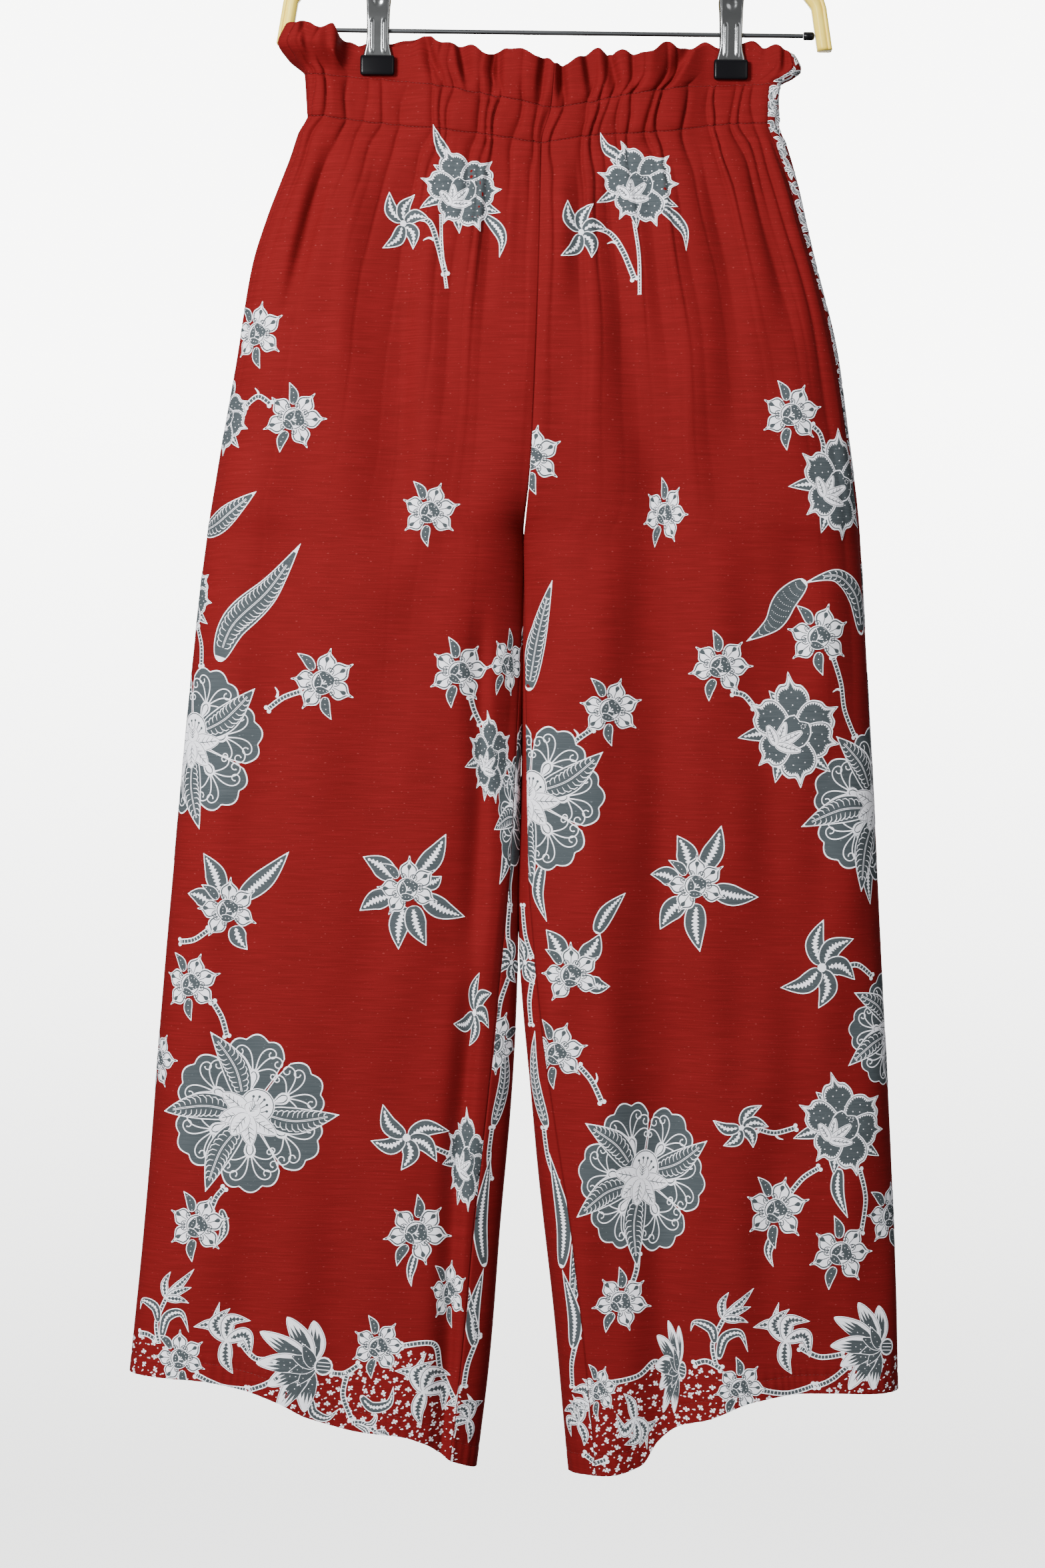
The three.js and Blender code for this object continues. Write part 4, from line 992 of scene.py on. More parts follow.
# Cuts a motif into triangles along its outlines and a net of points, and drops what is bare
def cutMotif(shapes, spacing):
    coords, faces = [], []
    for tone, outline in shapes:
        nextX, nextY = np.roll(outline, -1, axis=0).T
        if np.sum(outline[:, 0] * nextY - nextX * outline[:, 1]) < 0:
            outline = outline[::-1]
        start = len(coords)
        coords += [Vector(point) for point in outline.tolist()]
        faces.append(list(range(start, len(coords))))
    everything = np.concatenate([outline for _, outline in shapes])
    low, high = everything.min(axis=0), everything.max(axis=0)
    wide, tall = spacing
    for k, y in enumerate(np.arange(low[1], high[1], tall)):
        coords += [Vector((x, y)) for x in np.arange(low[0] + (k % 2) * wide / 2, high[0], wide)]
    points, _, triangles, _, _, fromFace = delaunay_2d_cdt(coords, [], faces, 1, 1e-4, True)
    tones = np.array([shapes[max(sources)][0] if sources else bare for sources in fromFace])
    kept = tones != bare
    return np.array([tuple(p) for p in points]), np.array(triangles)[kept], tones[kept]


printed = {name: dict(corners=[], uvs=[], faces={white: [], grey: []}, count=0) for name in surfaces}
# The pleated cloth down to waistDrop takes a finer net of points and more lift. A row's drop is read at
# dropColumn, and a motif's line keeps between the edgeColumns.
laying = dict(waistDrop=170, waistNet=(1.5, 4.5), waistLift=0.14, net=(2.2, 5.5), dropColumn=95,
              edgeColumns=[12, -6], margin=0.001)


# Lays a motif on a panel with its centre at X and drop, or at a distance from the inseam
def stamp(name, shapes, x, drop, lift, squeeze=1.0, inset=None):
    surface, sheet = surfaces[name], printed[name]
    nearWaist = drop < laying["waistDrop"]
    net = laying["waistNet"] if nearWaist else laying["net"]
    points, triangles, tones = cutMotif([(tone, outline * (squeeze, 1)) for tone, outline in shapes], net)
    row = np.argmin(np.abs(surface["drop"][:, laying["dropColumn"]] - drop))
    inPanel = np.sort(surface["x"][row, laying["edgeColumns"]])
    middle = float(np.clip(x, inPanel[0], inPanel[1])) if inset is None else x
    lift += laying["waistLift"] * nearWaist
    u, level, row, length = findOn(surface, middle, points[:, 0] + x, points[:, 1] + drop, inset)
    margin = laying["margin"]
    outside = (u < -margin) | (u > 1 + margin) | (level < edgeLevel) | (level > hemLevel)
    keep = ~outside[triangles].all(axis=1)
    u, row = np.clip(u, margin, 1 - margin), np.clip(row, 0.05, len(surface["levels"]) - 1.05)
    column = u * cloth["columns"]
    corners = sampleGrid(surface["points"], row, column) + sampleGrid(surface["normals"], row, column) * lift
    flat = np.stack([u * length * surface["away"], -(points[:, 1] + drop)], axis=1)
    for tone in (white, grey):
        sheet["faces"][tone].append(triangles[keep & (tones == tone)] + sheet["count"])
    sheet["corners"].append(corners)
    sheet["uvs"].append(flat)
    sheet["count"] += len(corners)


# Where the motifs lie: kind, X, drop, size, turn and, in a folded place, how narrow it shows
motifs = {
    "right front": [
        ("rag", -69, 128, 31, 0), ("spray", -114, 152, 25, -6), ("star", -225, 238, 19, 10),
        ("rag", -250, 299, 29, 30), ("star", -195, 304, 19, 40), ("star", -91, 374, 18, 20),
        ("rag", -278, 438, 29, 16), ("curl", -271, 549, 60, 4), ("star", -170, 504, 20, 5),
        ("star", -67, 495, 19, 30), ("star", -29, 488, 19, 50, 0.7), ("rag", -41, 561, 31, 12, 0.62),
        ("curl", -13, 604, 50, 30, 0.45), ("star", -269, 735, 19, 15), ("star", -296, 794, 18, 33),
        ("curl", -222, 832, 60, 40), ("star", -261, 918, 19, 25), ("spray", -52, 754, 30, 30, 0.55),
        ("spray", -102, 849, 31, 100), ("rag", -56, 868, 34, 20, 0.5), ("star", -94, 921, 20, 48),
        ("star", -69, 968, 19, 8, 0.6), ("sprig", -289, 1009, 36, 0), ("star", -273, 1019, 16.5, 0),
        ("whites", -237, 1005, 27, 0), ("lotus", -171, 1023, 46, -84), ("crescent", -121, 1046, 13, -14),
        ("crescent", -163, 1056, 11, 24), ("star", -122, 1008, 17, 30), ("whites", -87, 1042, 27, 14),
        ("whites", -50, 1060, 25, -10, 0.8), ("sprig", -141, 1066, 20, 100),
    ],
    "left front": [
        ("star", -14, 332, 19, 10), ("rag", 66, 122, 31, 0), ("spray", 22, 158, 25, -6),
        ("star", 183, 296, 19, 25), ("rag", 221, 350, 37, 20), ("star", 88, 372, 19, 40, 0.7),
        ("star", 48, 522, 19, 15), ("curl", -14, 590, 60, 8), ("star", 131, 488, 19, 35),
        ("star", 206, 465, 20, 12), ("rag", 188, 538, 38, 16), ("curl", 256, 592, 60, 26),
        ("star", 10, 784, 19, 22), ("curl", 77, 878, 60, 14, 0.8), ("star", 62, 972, 18, 44),
        ("spray", 212, 716, 35, 20), ("curl", 274, 764, 46, 10), ("rag", 230, 837, 35, 8),
        ("spray", 152, 838, 22, 60), ("star", 179, 901, 20, 18), ("star", 229, 933, 20, 36),
        ("star", 268, 906, 19, 0), ("star", 46, 1040, 15, 20, 0.8), ("whites", 74, 1062, 25, 160, 0.7),
        ("lotus", 107, 1024, 45, -84, 0.42), ("sprig", 135, 1018, 36, 0), ("star", 153, 1035, 16, 40),
        ("whites", 188, 1000, 27, 0), ("lotus", 260, 1005, 42, -84),
    ],
}
# Stars with longer leaves: X, drop, size and the leaves' tips, from the star's centre
leafStars = {
    "right front": [
        (-241, 678, 19, [(-19, -43), (47, -45), (-32, -12), (16, 30)]),
        (-104, 660, 19, [(-34, -24), (29, -42), (44, 21), (-36, 17), (-6, 46), (15, 43), (26, -10)]),
    ],
    "left front": [
        (115, 655, 19, [(19, -46), (48, 8), (-34, -8), (-26, 34), (4, 50), (-14, -38)]),
        (21, 724, 19, [(-20, -34), (22, -32), (30, 8)]),
    ],
}
# Leaves along curved paths: the path, the width and the kind of midrib
longLeaves = {
    "right front": [
        ([(-78, 108), (-84, 96), (-88, 88), (-92, 75)], 9, "jagged"),
        ([(-52, 146), (-42, 156), (-38, 166), (-40, 179)], 9, "jagged"),
        ([(-272, 388), (-250, 382), (-218, 360)], 18, "veins"),
        ([(-251, 489), (-240, 462), (-212, 434), (-188, 399)], 23, "veins"),
        ([(-26, 622), (-28, 640), (-34, 656)], 9, "jagged"),
        ([(-33, 925), (-38, 956), (-48, 992)], 11, "veins"),
        ([(-94, 936), (-98, 952), (-97, 962)], 7, "jagged"),
        ([(-242, 905), (-240, 922), (-248, 935)], 7, "jagged"),
    ],
    "left front": [
        ([(55, 102), (46, 96), (40, 91), (36, 80)], 9, "jagged"),
        ([(82, 138), (94, 148), (101, 158), (102, 172)], 9, "jagged"),
        ([(-17, 508), (-10, 470), (5, 424)], 19, "veins"),
        ([(246, 462), (239, 433), (219, 418), (194, 424)], 16, "veins"),
        ([(196, 422), (181, 437), (171, 455), (151, 469)], 18, "rows"),
        ([(249, 634), (247, 650), (250, 668)], 11, "jagged"),
        ([(40, 692), (48, 676), (62, 661)], 12, "jagged"),
        ([(227, 868), (226, 886), (234, 906)], 10, "jagged"),
        ([(179, 918), (174, 932), (178, 944)], 7, "jagged"),
        ([(-2, 640), (-6, 662), (2, 684)], 10, "jagged"),
    ],
}
# Stems: the path and the width
stems = {
    "right front": [
        ([(-85, 146), (-84, 172), (-80, 203)], 2.6),
        ([(-107, 148), (-94, 152), (-87, 170), (-81, 192)], 4.2),
        ([(-233, 294), (-222, 287), (-212, 293)], 4.2), ([(-212, 525), (-200, 516), (-186, 511)], 4.2),
        ([(-269, 462), (-264, 476), (-264, 492)], 4.2), ([(-58, 514), (-55, 524), (-50, 534)], 4.0),
        ([(-279, 703), (-266, 701), (-254, 693)], 4.2), ([(-251, 748), (-244, 760), (-240, 774)], 4.2),
        ([(-240, 889), (-246, 896), (-250, 906)], 4.2), ([(-92, 852), (-82, 856), (-70, 862)], 4.0),
        ([(-306, 1003), (-298, 1003), (-291, 1006)], 4.2),
        ([(-226, 1007), (-215, 1018), (-200, 1018)], 4.2),
        ([(-157, 1029), (-147, 1029), (-136, 1022)], 4.2),
        ([(-104, 1007), (-80, 1006), (-74, 1028), (-62, 1050)], 4.2),
        ([(-145, 1029), (-148, 1046), (-141, 1064)], 4.2),
        ([(-260, 1031), (-240, 1040), (-222, 1042)], 4.2),
        ([(-219, 1042), (-208, 1038), (-196, 1031)], 4.2), ([(-64, 1096), (-56, 1101), (-48, 1104)], 4.2),
    ],
    "left front": [
        ([(62, 150), (66, 176), (67, 206)], 2.6), ([(29, 154), (44, 158), (54, 172), (63, 194)], 4.2),
        ([(199, 304), (206, 310), (210, 322)], 4.2), ([(12, 556), (24, 545), (35, 537)], 4.2),
        ([(141, 508), (150, 510), (158, 519)], 4.2),
        ([(216, 480), (224, 500), (228, 520), (238, 540)], 4.2), ([(28, 793), (38, 804), (46, 820)], 4.2),
        ([(75, 936), (74, 948), (71, 958)], 4.2), ([(227, 716), (240, 714), (254, 723)], 4.2),
        ([(165, 839), (178, 842), (194, 838)], 4.0), ([(212, 868), (200, 876), (190, 888)], 4.0),
        ([(242, 869), (248, 892), (245, 918)], 4.0), ([(9, 945), (18, 974), (30, 1009)], 4.6),
        ([(53, 1034), (76, 1029), (89, 1019), (97, 1026)], 4.2),
        ([(119, 1019), (128, 1016), (139, 1021)], 4.2), ([(168, 1037), (190, 1040), (210, 1034)], 4.2),
        ([(213, 1034), (224, 1029), (236, 1019)], 4.2), ([(199, 1005), (214, 1012), (232, 1010)], 4.2),
        ([(36, 1099), (44, 1096), (53, 1092)], 4.2),
    ],
}
# Thorns: X, drop and turn
thorns = {
    "right front": [
        (-90, 166, -62), (-205, 516, 20), (-222, 288, 10), (-52, 526, -100),
    ],
    "left front": [
        (50, 166, -62), (24, 545, 10), (225, 505, -70), (40, 806, 40), (178, 842, 160), (18, 974, -40),
    ],
}
# The upper edge of the ground of small flowers that fills the cloth above each hem
garlands = {
    "right front": [
        (-318, 1002), (-286, 1006), (-264, 1032), (-222, 1046), (-198, 1037), (-171, 1032), (-138, 1026),
        (-122, 1012), (-104, 1010), (-77, 1012), (-70, 1034), (-62, 1056), (-57, 1080), (-46, 1102),
    ],
    "left front": [
        (36, 1044), (54, 1037), (90, 1022), (106, 1028), (122, 1020), (143, 1024), (160, 1042),
        (212, 1038), (237, 1023), (262, 1012), (284, 1010),
    ],
}
makers = {"rag": ragBlossom, "star": starBlossom, "spray": spray, "curl": curlBlossom, "sprig": sprig,
          "whites": whiteSpray, "lotus": lotus, "crescent": crescent}
# How far each kind of motif lies above the cloth
lifts = dict(ground=0.14, leaf=0.20, thorn=0.22, stem=0.24, blossom=0.30, inseamStem=0.22, inseamLeaf=0.24,
             strip=0.33)
floretSpacing = 8.8


def centred(path, x, drop):
    return [(px - x, py - drop) for px, py in path]


# Prints a panel from one front panel's tables. A back panel is mirrored about X = mirror / 2.
def printPanel(name, source, mirror=None, lower=0.0):
    def place(x):
        return x if mirror is None else mirror - x
    sign = 1 if mirror is None else -1
    garland = garlands[source]
    for x in np.arange(garland[0][0], garland[-1][0], floretSpacing):
        for drop in np.arange(float(readTable(garland, x)) + 4, 1110, floretSpacing):
            shapes = turned(floret(1.6), scatter.uniform(0, 360)) + [(white, disc(3.8, 3.8, 0.5, 5))]
            shapes += turned(teardrop(2.4, 0.8, 60, -3.9, 4.6, white), scatter.uniform(-40, 40))
            shiftX = scatter.uniform(-2, 2)
            shiftDrop = scatter.uniform(-2, 2)
            stamp(name, shapes, place(x + shiftX), drop + shiftDrop + lower, lifts["ground"])
    for path, width, rib in longLeaves[source]:
        x, drop = path[len(path) // 2]
        shapes = leaf([(px * sign, py) for px, py in centred(path, x, drop)], width, rib)
        stamp(name, shapes, place(x), drop + lower, lifts["leaf"])
    for path, width in stems[source]:
        x, drop = path[len(path) // 2]
        shapes = stem([(px * sign, py) for px, py in centred(path, x, drop)], width, forked=width > 3.5)
        stamp(name, shapes, place(x), drop + lower, lifts["stem"])
    for x, drop, degrees in thorns[source]:
        stamp(name, thorn(degrees * sign), place(x), drop + lower, lifts["thorn"])
    for x, drop, size, tips in leafStars[source]:
        shapes = leafStar(size, [(tx * sign, ty) for tx, ty in tips])
        stamp(name, shapes, place(x), drop + lower, lifts["blossom"])
    for kind, x, drop, size, degrees, *squeeze in motifs[source]:
        shapes = turned(makers[kind](size), degrees * sign)
        stamp(name, shapes, place(x), drop + lower, lifts["blossom"], *squeeze)


printPanel("right front", "right front")
printPanel("left front", "left front")
printPanel("right back", "left front", mirror=-22, lower=-6)
printPanel("left back", "right front", mirror=-22, lower=-6)
# A dense row of small sprays down the left back panel beside its side seam, from the ruffle to the hip
toSideSeam = surfaces["left back"]["baseLength"]
for k, drop in enumerate(np.arange(8, 340, 11)):
    shapes, fromSeam = (spray(9.5), 7) if k % 2 else (whiteSpray(9), 3)
    stamp("left back", turned(shapes, 47 * k), 0, drop, lifts["strip"], inset=toSideSeam - fromSeam)
stamp("right back", turned(floret(2.2), 10), -197, 20, lifts["strip"])
# Leaves and stems on the strip of each back panel that the inseam brings to the front. A leaf has its drop,
# path, width and midrib, and a stem its drop, turn and distance from the inseam.
inseamLeaves = [(905, [(-3, 44), (4, 8), (1, -44)], 12, "jagged"),
                (806, [(2, 36), (-4, 0), (3, -38)], 11, "veins"),
                (980, [(0, 30), (4, 4), (-2, -30)], 11, "jagged")]
inseamStems = [(690, 8, 5), (742, -10, 5), (860, 6, 8), (1018, -12, 8)]
for name, sign in (("right back", 1), ("left back", -1)):
    for drop, path, width, rib in inseamLeaves:
        shapes = leaf([(px * sign, py) for px, py in path], width, rib)
        stamp(name, shapes, 0, drop, lifts["inseamLeaf"], inset=9)
    for drop, degrees, inset in inseamStems:
        vine = turned(stem([(0, 22), (2.4, 4), (0, -18)], 4.0), degrees)
        stamp(name, vine, 0, drop, lifts["inseamStem"], inset=inset)
    stamp(name, turned(whiteSpray(19), 20), 0, 1066, lifts["blossom"], inset=10)
    stamp(name, turned(spray(20), 40), 0, 716, lifts["blossom"], inset=9)

for name, sheet in printed.items():
    corners, uvs = np.concatenate(sheet["corners"]), np.concatenate(sheet["uvs"])
    for tone, word, material in ((white, "white", printWhite), (grey, "grey", printGrey)):
        triangles = np.concatenate(sheet["faces"][tone])
        used, remapped = np.unique(triangles, return_inverse=True)
        pieceName = f"{name.replace(' ', '_')}_print_{word}"
        made = addMesh(pieceName, corners[used], remapped.reshape(-1, 3), material, uvs[used])
        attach(made, "root")
        print("print", made.name, "triangles", len(triangles))
print("print made")


# The stitches are small rounded bars along a curve
def stitchTree():
    tree = bpy.data.node_groups.new("stitchRow", "GeometryNodeTree")
    tree.interface.new_socket("Path", in_out="INPUT", socket_type="NodeSocketGeometry")
    for name in ("Spacing", "Length", "Thread"):
        tree.interface.new_socket(name, in_out="INPUT", socket_type="NodeSocketFloat")
    tree.interface.new_socket("Material", in_out="INPUT", socket_type="NodeSocketMaterial")
    tree.interface.new_socket("Stitches", in_out="OUTPUT", socket_type="NodeSocketGeometry")
    nodes, links = tree.nodes, tree.links
    source, sink = nodes.new("NodeGroupInput"), nodes.new("NodeGroupOutput")
    toPoints = nodes.new("GeometryNodeCurveToPoints")
    toPoints.mode = "LENGTH"
    links.new(source.outputs["Path"], toPoints.inputs["Curve"])
    links.new(source.outputs["Spacing"], toPoints.inputs["Length"])
    bar = nodes.new("GeometryNodeMeshUVSphere")
    bar.inputs["Segments"].default_value = 6
    bar.inputs["Rings"].default_value = 5
    bar.inputs["Radius"].default_value = 0.5
    size = nodes.new("ShaderNodeCombineXYZ")
    links.new(source.outputs["Thread"], size.inputs["X"])
    links.new(source.outputs["Thread"], size.inputs["Y"])
    links.new(source.outputs["Length"], size.inputs["Z"])
    place = nodes.new("GeometryNodeInstanceOnPoints")
    links.new(toPoints.outputs["Points"], place.inputs["Points"])
    links.new(toPoints.outputs["Rotation"], place.inputs["Rotation"])
    links.new(bar.outputs["Mesh"], place.inputs["Instance"])
    links.new(size.outputs["Vector"], place.inputs["Scale"])
    real = nodes.new("GeometryNodeRealizeInstances")
    links.new(place.outputs["Instances"], real.inputs["Geometry"])
    coloured = nodes.new("GeometryNodeSetMaterial")
    links.new(real.outputs["Geometry"], coloured.inputs["Geometry"])
    links.new(source.outputs["Material"], coloured.inputs["Material"])
    links.new(coloured.outputs["Geometry"], sink.inputs["Stitches"])
    return tree


stitchRow = stitchTree()
stitch = dict(spacing=3.0, length=2.1, thread=0.42, above=0.1, levels=(-32.95, 0.05, hemLine))


def stitchPiece(surface):
    rows = [int(np.argmin(np.abs(surface["levels"] - level))) for level in stitch["levels"]]
    made = bpy.data.objects.new("rows", bpy.data.curves.new("rows", "CURVE"))
    made.data.dimensions = "3D"
    for row in rows:
        path = (surface["points"][row] + surface["normals"][row] * stitch["above"]) * millimetre
        line = made.data.splines.new("POLY")
        line.points.add(len(path) - 1)
        line.points.foreach_set("co", np.column_stack([path, np.ones(len(path))]).ravel())
    bpy.context.scene.collection.objects.link(made)
    modifier = made.modifiers.new("stitches", "NODES")
    modifier.node_group = stitchRow
    values = {"Spacing": stitch["spacing"] * millimetre, "Length": stitch["length"] * millimetre,
              "Thread": stitch["thread"] * millimetre, "Material": threadRed}
    for item in stitchRow.interface.items_tree:
        if item.name in values:
            modifier[item.identifier] = values[item.name]
    bpy.context.view_layer.update()
    evaluated = made.evaluated_get(bpy.context.evaluated_depsgraph_get())
    mesh = bpy.data.meshes.new_from_object(evaluated)
    name = f"{surface['side']}_{surface['face']}_stitches"
    bpy.data.objects.remove(made)
    mesh.name = name
    made = bpy.data.objects.new(name, mesh)
    bpy.context.scene.collection.objects.link(made)
    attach(made, "root")
    print("stitches", name, "faces", len(mesh.polygons))


for surface in surfaces.values():
    stitchPiece(surface)
print("stitches made")


# The hanger: each of its pieces takes the place of one plain node
def finishPiece(made, node):
    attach(made, "root")
    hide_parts(node)


# A closed tube through rings of points, with a point in the middle of each end. The faces of its ends have
# one corner twice, so that all faces have four.
def tube(rings):
    rings = np.asarray(rings, float)
    count, around = rings.shape[:2]
    r, c = (a.ravel() for a in np.meshgrid(np.arange(count - 1), np.arange(around), indexing="ij"))
    nextC = (c + 1) % around
    here, beyond = r * around, (r + 1) * around
    sides = np.stack([here + c, beyond + c, beyond + nextC, here + nextC], axis=1)
    corners = np.concatenate([rings.reshape(-1, 3), [rings[0].mean(axis=0), rings[-1].mean(axis=0)]])
    c = np.arange(around)
    nextC = (c + 1) % around
    first, last = count * around, count * around + 1
    base = (count - 1) * around
    ends = [np.stack([c * 0 + first, c, nextC, nextC], axis=1),
            np.stack([c * 0 + last, base + nextC, base + c, base + c], axis=1)]
    return corners, facesOut(corners, np.concatenate([sides, *ends]))


def addTube(name, rings, material):
    corners, faces = tube(rings)
    quads = faces[[len(set(face)) == 4 for face in faces.tolist()]]
    triangles = [list(dict.fromkeys(face)) for face in faces.tolist() if len(set(face)) == 3]
    mesh = bpy.data.meshes.new(name)
    mesh.from_pydata((corners * millimetre).tolist(), [], quads.tolist() + triangles)
    mesh.polygons.foreach_set("use_smooth", np.full(len(mesh.polygons), True))
    mesh.materials.append(material)
    made = bpy.data.objects.new(name, mesh)
    bpy.context.scene.collection.objects.link(made)
    return made


def bezier(a, b, c, d, count):
    t = np.linspace(0, 1, count)[:, None]
    a, b, c, d = (np.array(p, float) for p in (a, b, c, d))
    return (1 - t) ** 3 * a + 3 * (1 - t) ** 2 * t * b + 3 * (1 - t) * t * t * c + t ** 3 * d


bow = dict(top=-62.0, deep=28.0, thickness=12.0, tipDrop=11.0, tipRise=32.0, tipLean=5.0, tipOuter=214.0,
           tipWidth=11.0)


def bowRings():
    tip, top = rodHeight - bow["tipDrop"], bow["top"]
    straight, outerX = tip + bow["tipRise"], bow["tipOuter"] - bow["tipLean"]
    innerX, under = outerX - bow["tipWidth"], top - bow["deep"]
    outer = np.concatenate([
        bezier((0, top), (26, top), (34, top - 4), (62, top - 9), 16)[:-1],
        bezier((62, top - 9), (130, top - 22), (outerX - 12, top - 52), (outerX, straight), 40)[:-1],
        bezier((outerX, straight), (outerX, straight), (bow["tipOuter"], tip), (bow["tipOuter"], tip), 8)])
    inner = np.concatenate([
        bezier((0, under + 1.2), (20, under + 1.2), (46, under - 1.5), (62, under - 5), 16)[:-1],
        bezier((62, under - 5), (118, under - 16), (innerX - 20, under - 38), (innerX, straight), 40)[:-1],
        bezier((innerX, straight), (innerX, straight), (bow["tipOuter"] - bow["tipWidth"], tip),
               (bow["tipOuter"] - bow["tipWidth"], tip), 8)])
    mirrored = np.array([-1, 1])
    outer = np.concatenate([outer[::-1] * mirrored, outer[1:]])
    inner = np.concatenate([inner[::-1] * mirrored, inner[1:]])
    half = bow["thickness"] / 2
    # The section: millimetres in from the outer edge or, where negative, from the inner one, and the depth
    section = [(0, -half + 2), (0.6, -half + 0.7), (1.8, -half), (2.7, -half), (3.0, -half + 0.8),
               (3.5, -half + 0.8), (3.8, -half), (-3.4, -half), (-2.6, -half + 0.3), (-0.5, -half + 2.8),
               (-0.001, -half + 3.6), (-0.001, half - 2), (-0.6, half - 0.7), (-1.8, half), (1.8, half),
               (0.6, half - 0.7), (0, half - 2)]
    width = np.linalg.norm(inner - outer, axis=1, keepdims=True)
    toInner = (inner - outer) / width
    rings = []
    for inFrom, y in section:
        place = (outer if inFrom >= 0 else inner) + toInner * inFrom
        rings.append(np.stack([place[:, 0], np.full(len(place), y), place[:, 1]], axis=1))
    return np.stack(rings, axis=1)


finishPiece(addTube("bow_wood", bowRings(), paleWood), "hanger_bow")


# Rings of a round wire along a path in the XZ plane
def wireRings(path, radius, count=14):
    path = np.asarray(path, float)
    along = np.gradient(path, axis=0)
    along /= np.linalg.norm(along, axis=1, keepdims=True)
    sideways = np.stack([-along[:, 1], along[:, 0]], axis=1)
    rings = []
    for angle in np.linspace(0, 2 * np.pi, count, endpoint=False):
        off = sideways * math.cos(angle) * radius
        rings.append(np.stack([path[:, 0] + off[:, 0], np.full(len(path), math.sin(angle) * radius),
                               path[:, 1] + off[:, 1]], axis=1))
    return np.stack(rings, axis=1)


hook = dict(bend=17, centre=-19, tipAngle=215, neckAngle=-50, wire=2.0)
hookAngles = np.radians(np.linspace(hook["tipAngle"], hook["neckAngle"], 40))
hookArc = np.stack([np.cos(hookAngles), np.sin(hookAngles)], axis=1) * hook["bend"] + (0, hook["centre"])
hookNeck = bezier((10.93, -32.02), (7, -36.6), (0.5, -39), (0, -46), 12)[1:]
hookPath = np.concatenate([hookArc, hookNeck, [(0, -54), (0, -61.6)]])
finishPiece(addTube("hook_wire", wireRings(hookPath, hook["wire"]), chrome), "hanger_hook")


# Rings round the X axis: (X, radius) down the profile
def latheRings(profile, z, count=28):
    angles = np.linspace(0, 2 * np.pi, count, endpoint=False)
    return [[(x, radius * math.cos(a), z + radius * math.sin(a)) for a in angles] for x, radius in profile]


# Half of the rod's profile: X and radius. The rings just inside its ends keep the shading even.
rodEnd = [(190, 1.7), (191.5, 1.7), (191.7, 1.5)]
rodProfile = [(-x, radius) for x, radius in reversed(rodEnd)] + rodEnd
finishPiece(addTube("rod_steel", latheRings(rodProfile, rodHeight), rodSteel), "hanger_rod")

clip = dict(above=36.0, below=31.5, rows=60, columns=33, wall=0.8, ribDeep=0.9, ribWide=2.3, ribAside=4.6,
            dimple=3.4, dimpleDeep=0.7, dimpleRise=21.5)
# A plate's distance from the hanger's plane and its width, each by drop
plateDepths = [(-36, 12.4), (-30, 11.2), (-18, 8.0), (-6, 5.6), (6, 5.5), (14, 4.7), (22, 4.2), (32, 4.11)]
plateWidths = [(-36, 9), (-34.6, 14), (-32, 17), (-27, 18.2), (-18, 17.4), (6, 16.8), (12, 18), (22, 22.4),
               (32, 22.6)]


# A clip's plate: a bent sheet with two pressed ribs and a round dimple
def platePiece(name, middle, out):
    rows, columns = clip["rows"], clip["columns"]
    drops = np.linspace(clip["below"], -clip["above"], rows)
    across = np.linspace(-1, 1, columns)
    y, width = readTable(plateDepths, drops), readTable(plateWidths, drops)
    x = across[None, :] * width[:, None] / 2
    ribLong = ease(-8, -5, drops) * (1 - ease(15, 18.5, drops))
    rib = np.exp(-((np.abs(x) - clip["ribAside"]) / (clip["ribWide"] / 2)) ** 4) * ribLong[:, None]
    hollow = np.exp(-((x ** 2 + (drops[:, None] + clip["dimpleRise"]) ** 2) / clip["dimple"] ** 2) ** 2)
    rolled = np.clip((np.abs(across) - 0.86) / 0.14, 0, 1)[None, :] ** 2 * 0.8
    depth = y[:, None] + clip["ribDeep"] * rib - clip["dimpleDeep"] * hollow - rolled
    z = np.repeat((rodHeight - drops)[:, None], columns, axis=1)
    outer = np.stack([middle + x, out * (depth + clip["wall"]), z], axis=2)
    inner = outer - np.array([0, out * clip["wall"], 0])
    corners = np.concatenate([outer.reshape(-1, 3), inner.reshape(-1, 3)])
    return addMesh(name, corners, facesOut(corners, shellFaces(rows, columns)), chrome)


pad = dict(half=13.2, bottom=35.6, top=20.2, near=2.3, far=7.7, squareness=0.42, around=36)
# How a pad's ends round off: the distance in from an end and how much smaller the section is there
padEnd = [(0.0, 2.6), (0.12, 1.7), (0.45, 0.8), (1.2, 0.15), (2.2, 0)]


# A clip's soft boot: a rounded block over the plate's foot
def padPiece(name, middle, out):
    half, bottom, top, near, far = (pad[key] for key in ("half", "bottom", "top", "near", "far"))
    stations = [(-half + a, b) for a, b in padEnd] + [(half - a, b) for a, b in reversed(padEnd)]
    rings = []
    for x, shrink in stations:
        deep, tall = (far - near) / 2 - shrink * 0.8, (bottom - top) / 2 - shrink
        ring = []
        for k in range(pad["around"]):
            angle = 2 * math.pi * k / pad["around"]
            ca, sa = math.cos(angle), math.sin(angle)
            y = math.copysign(abs(ca) ** pad["squareness"], ca) * deep
            z = math.copysign(abs(sa) ** pad["squareness"], sa) * tall
            ring.append((middle + x, out * ((near + far) / 2 + y), rodHeight - (top + bottom) / 2 + z))
        rings.append(ring)
    return addTube(name, rings, blackVinyl)


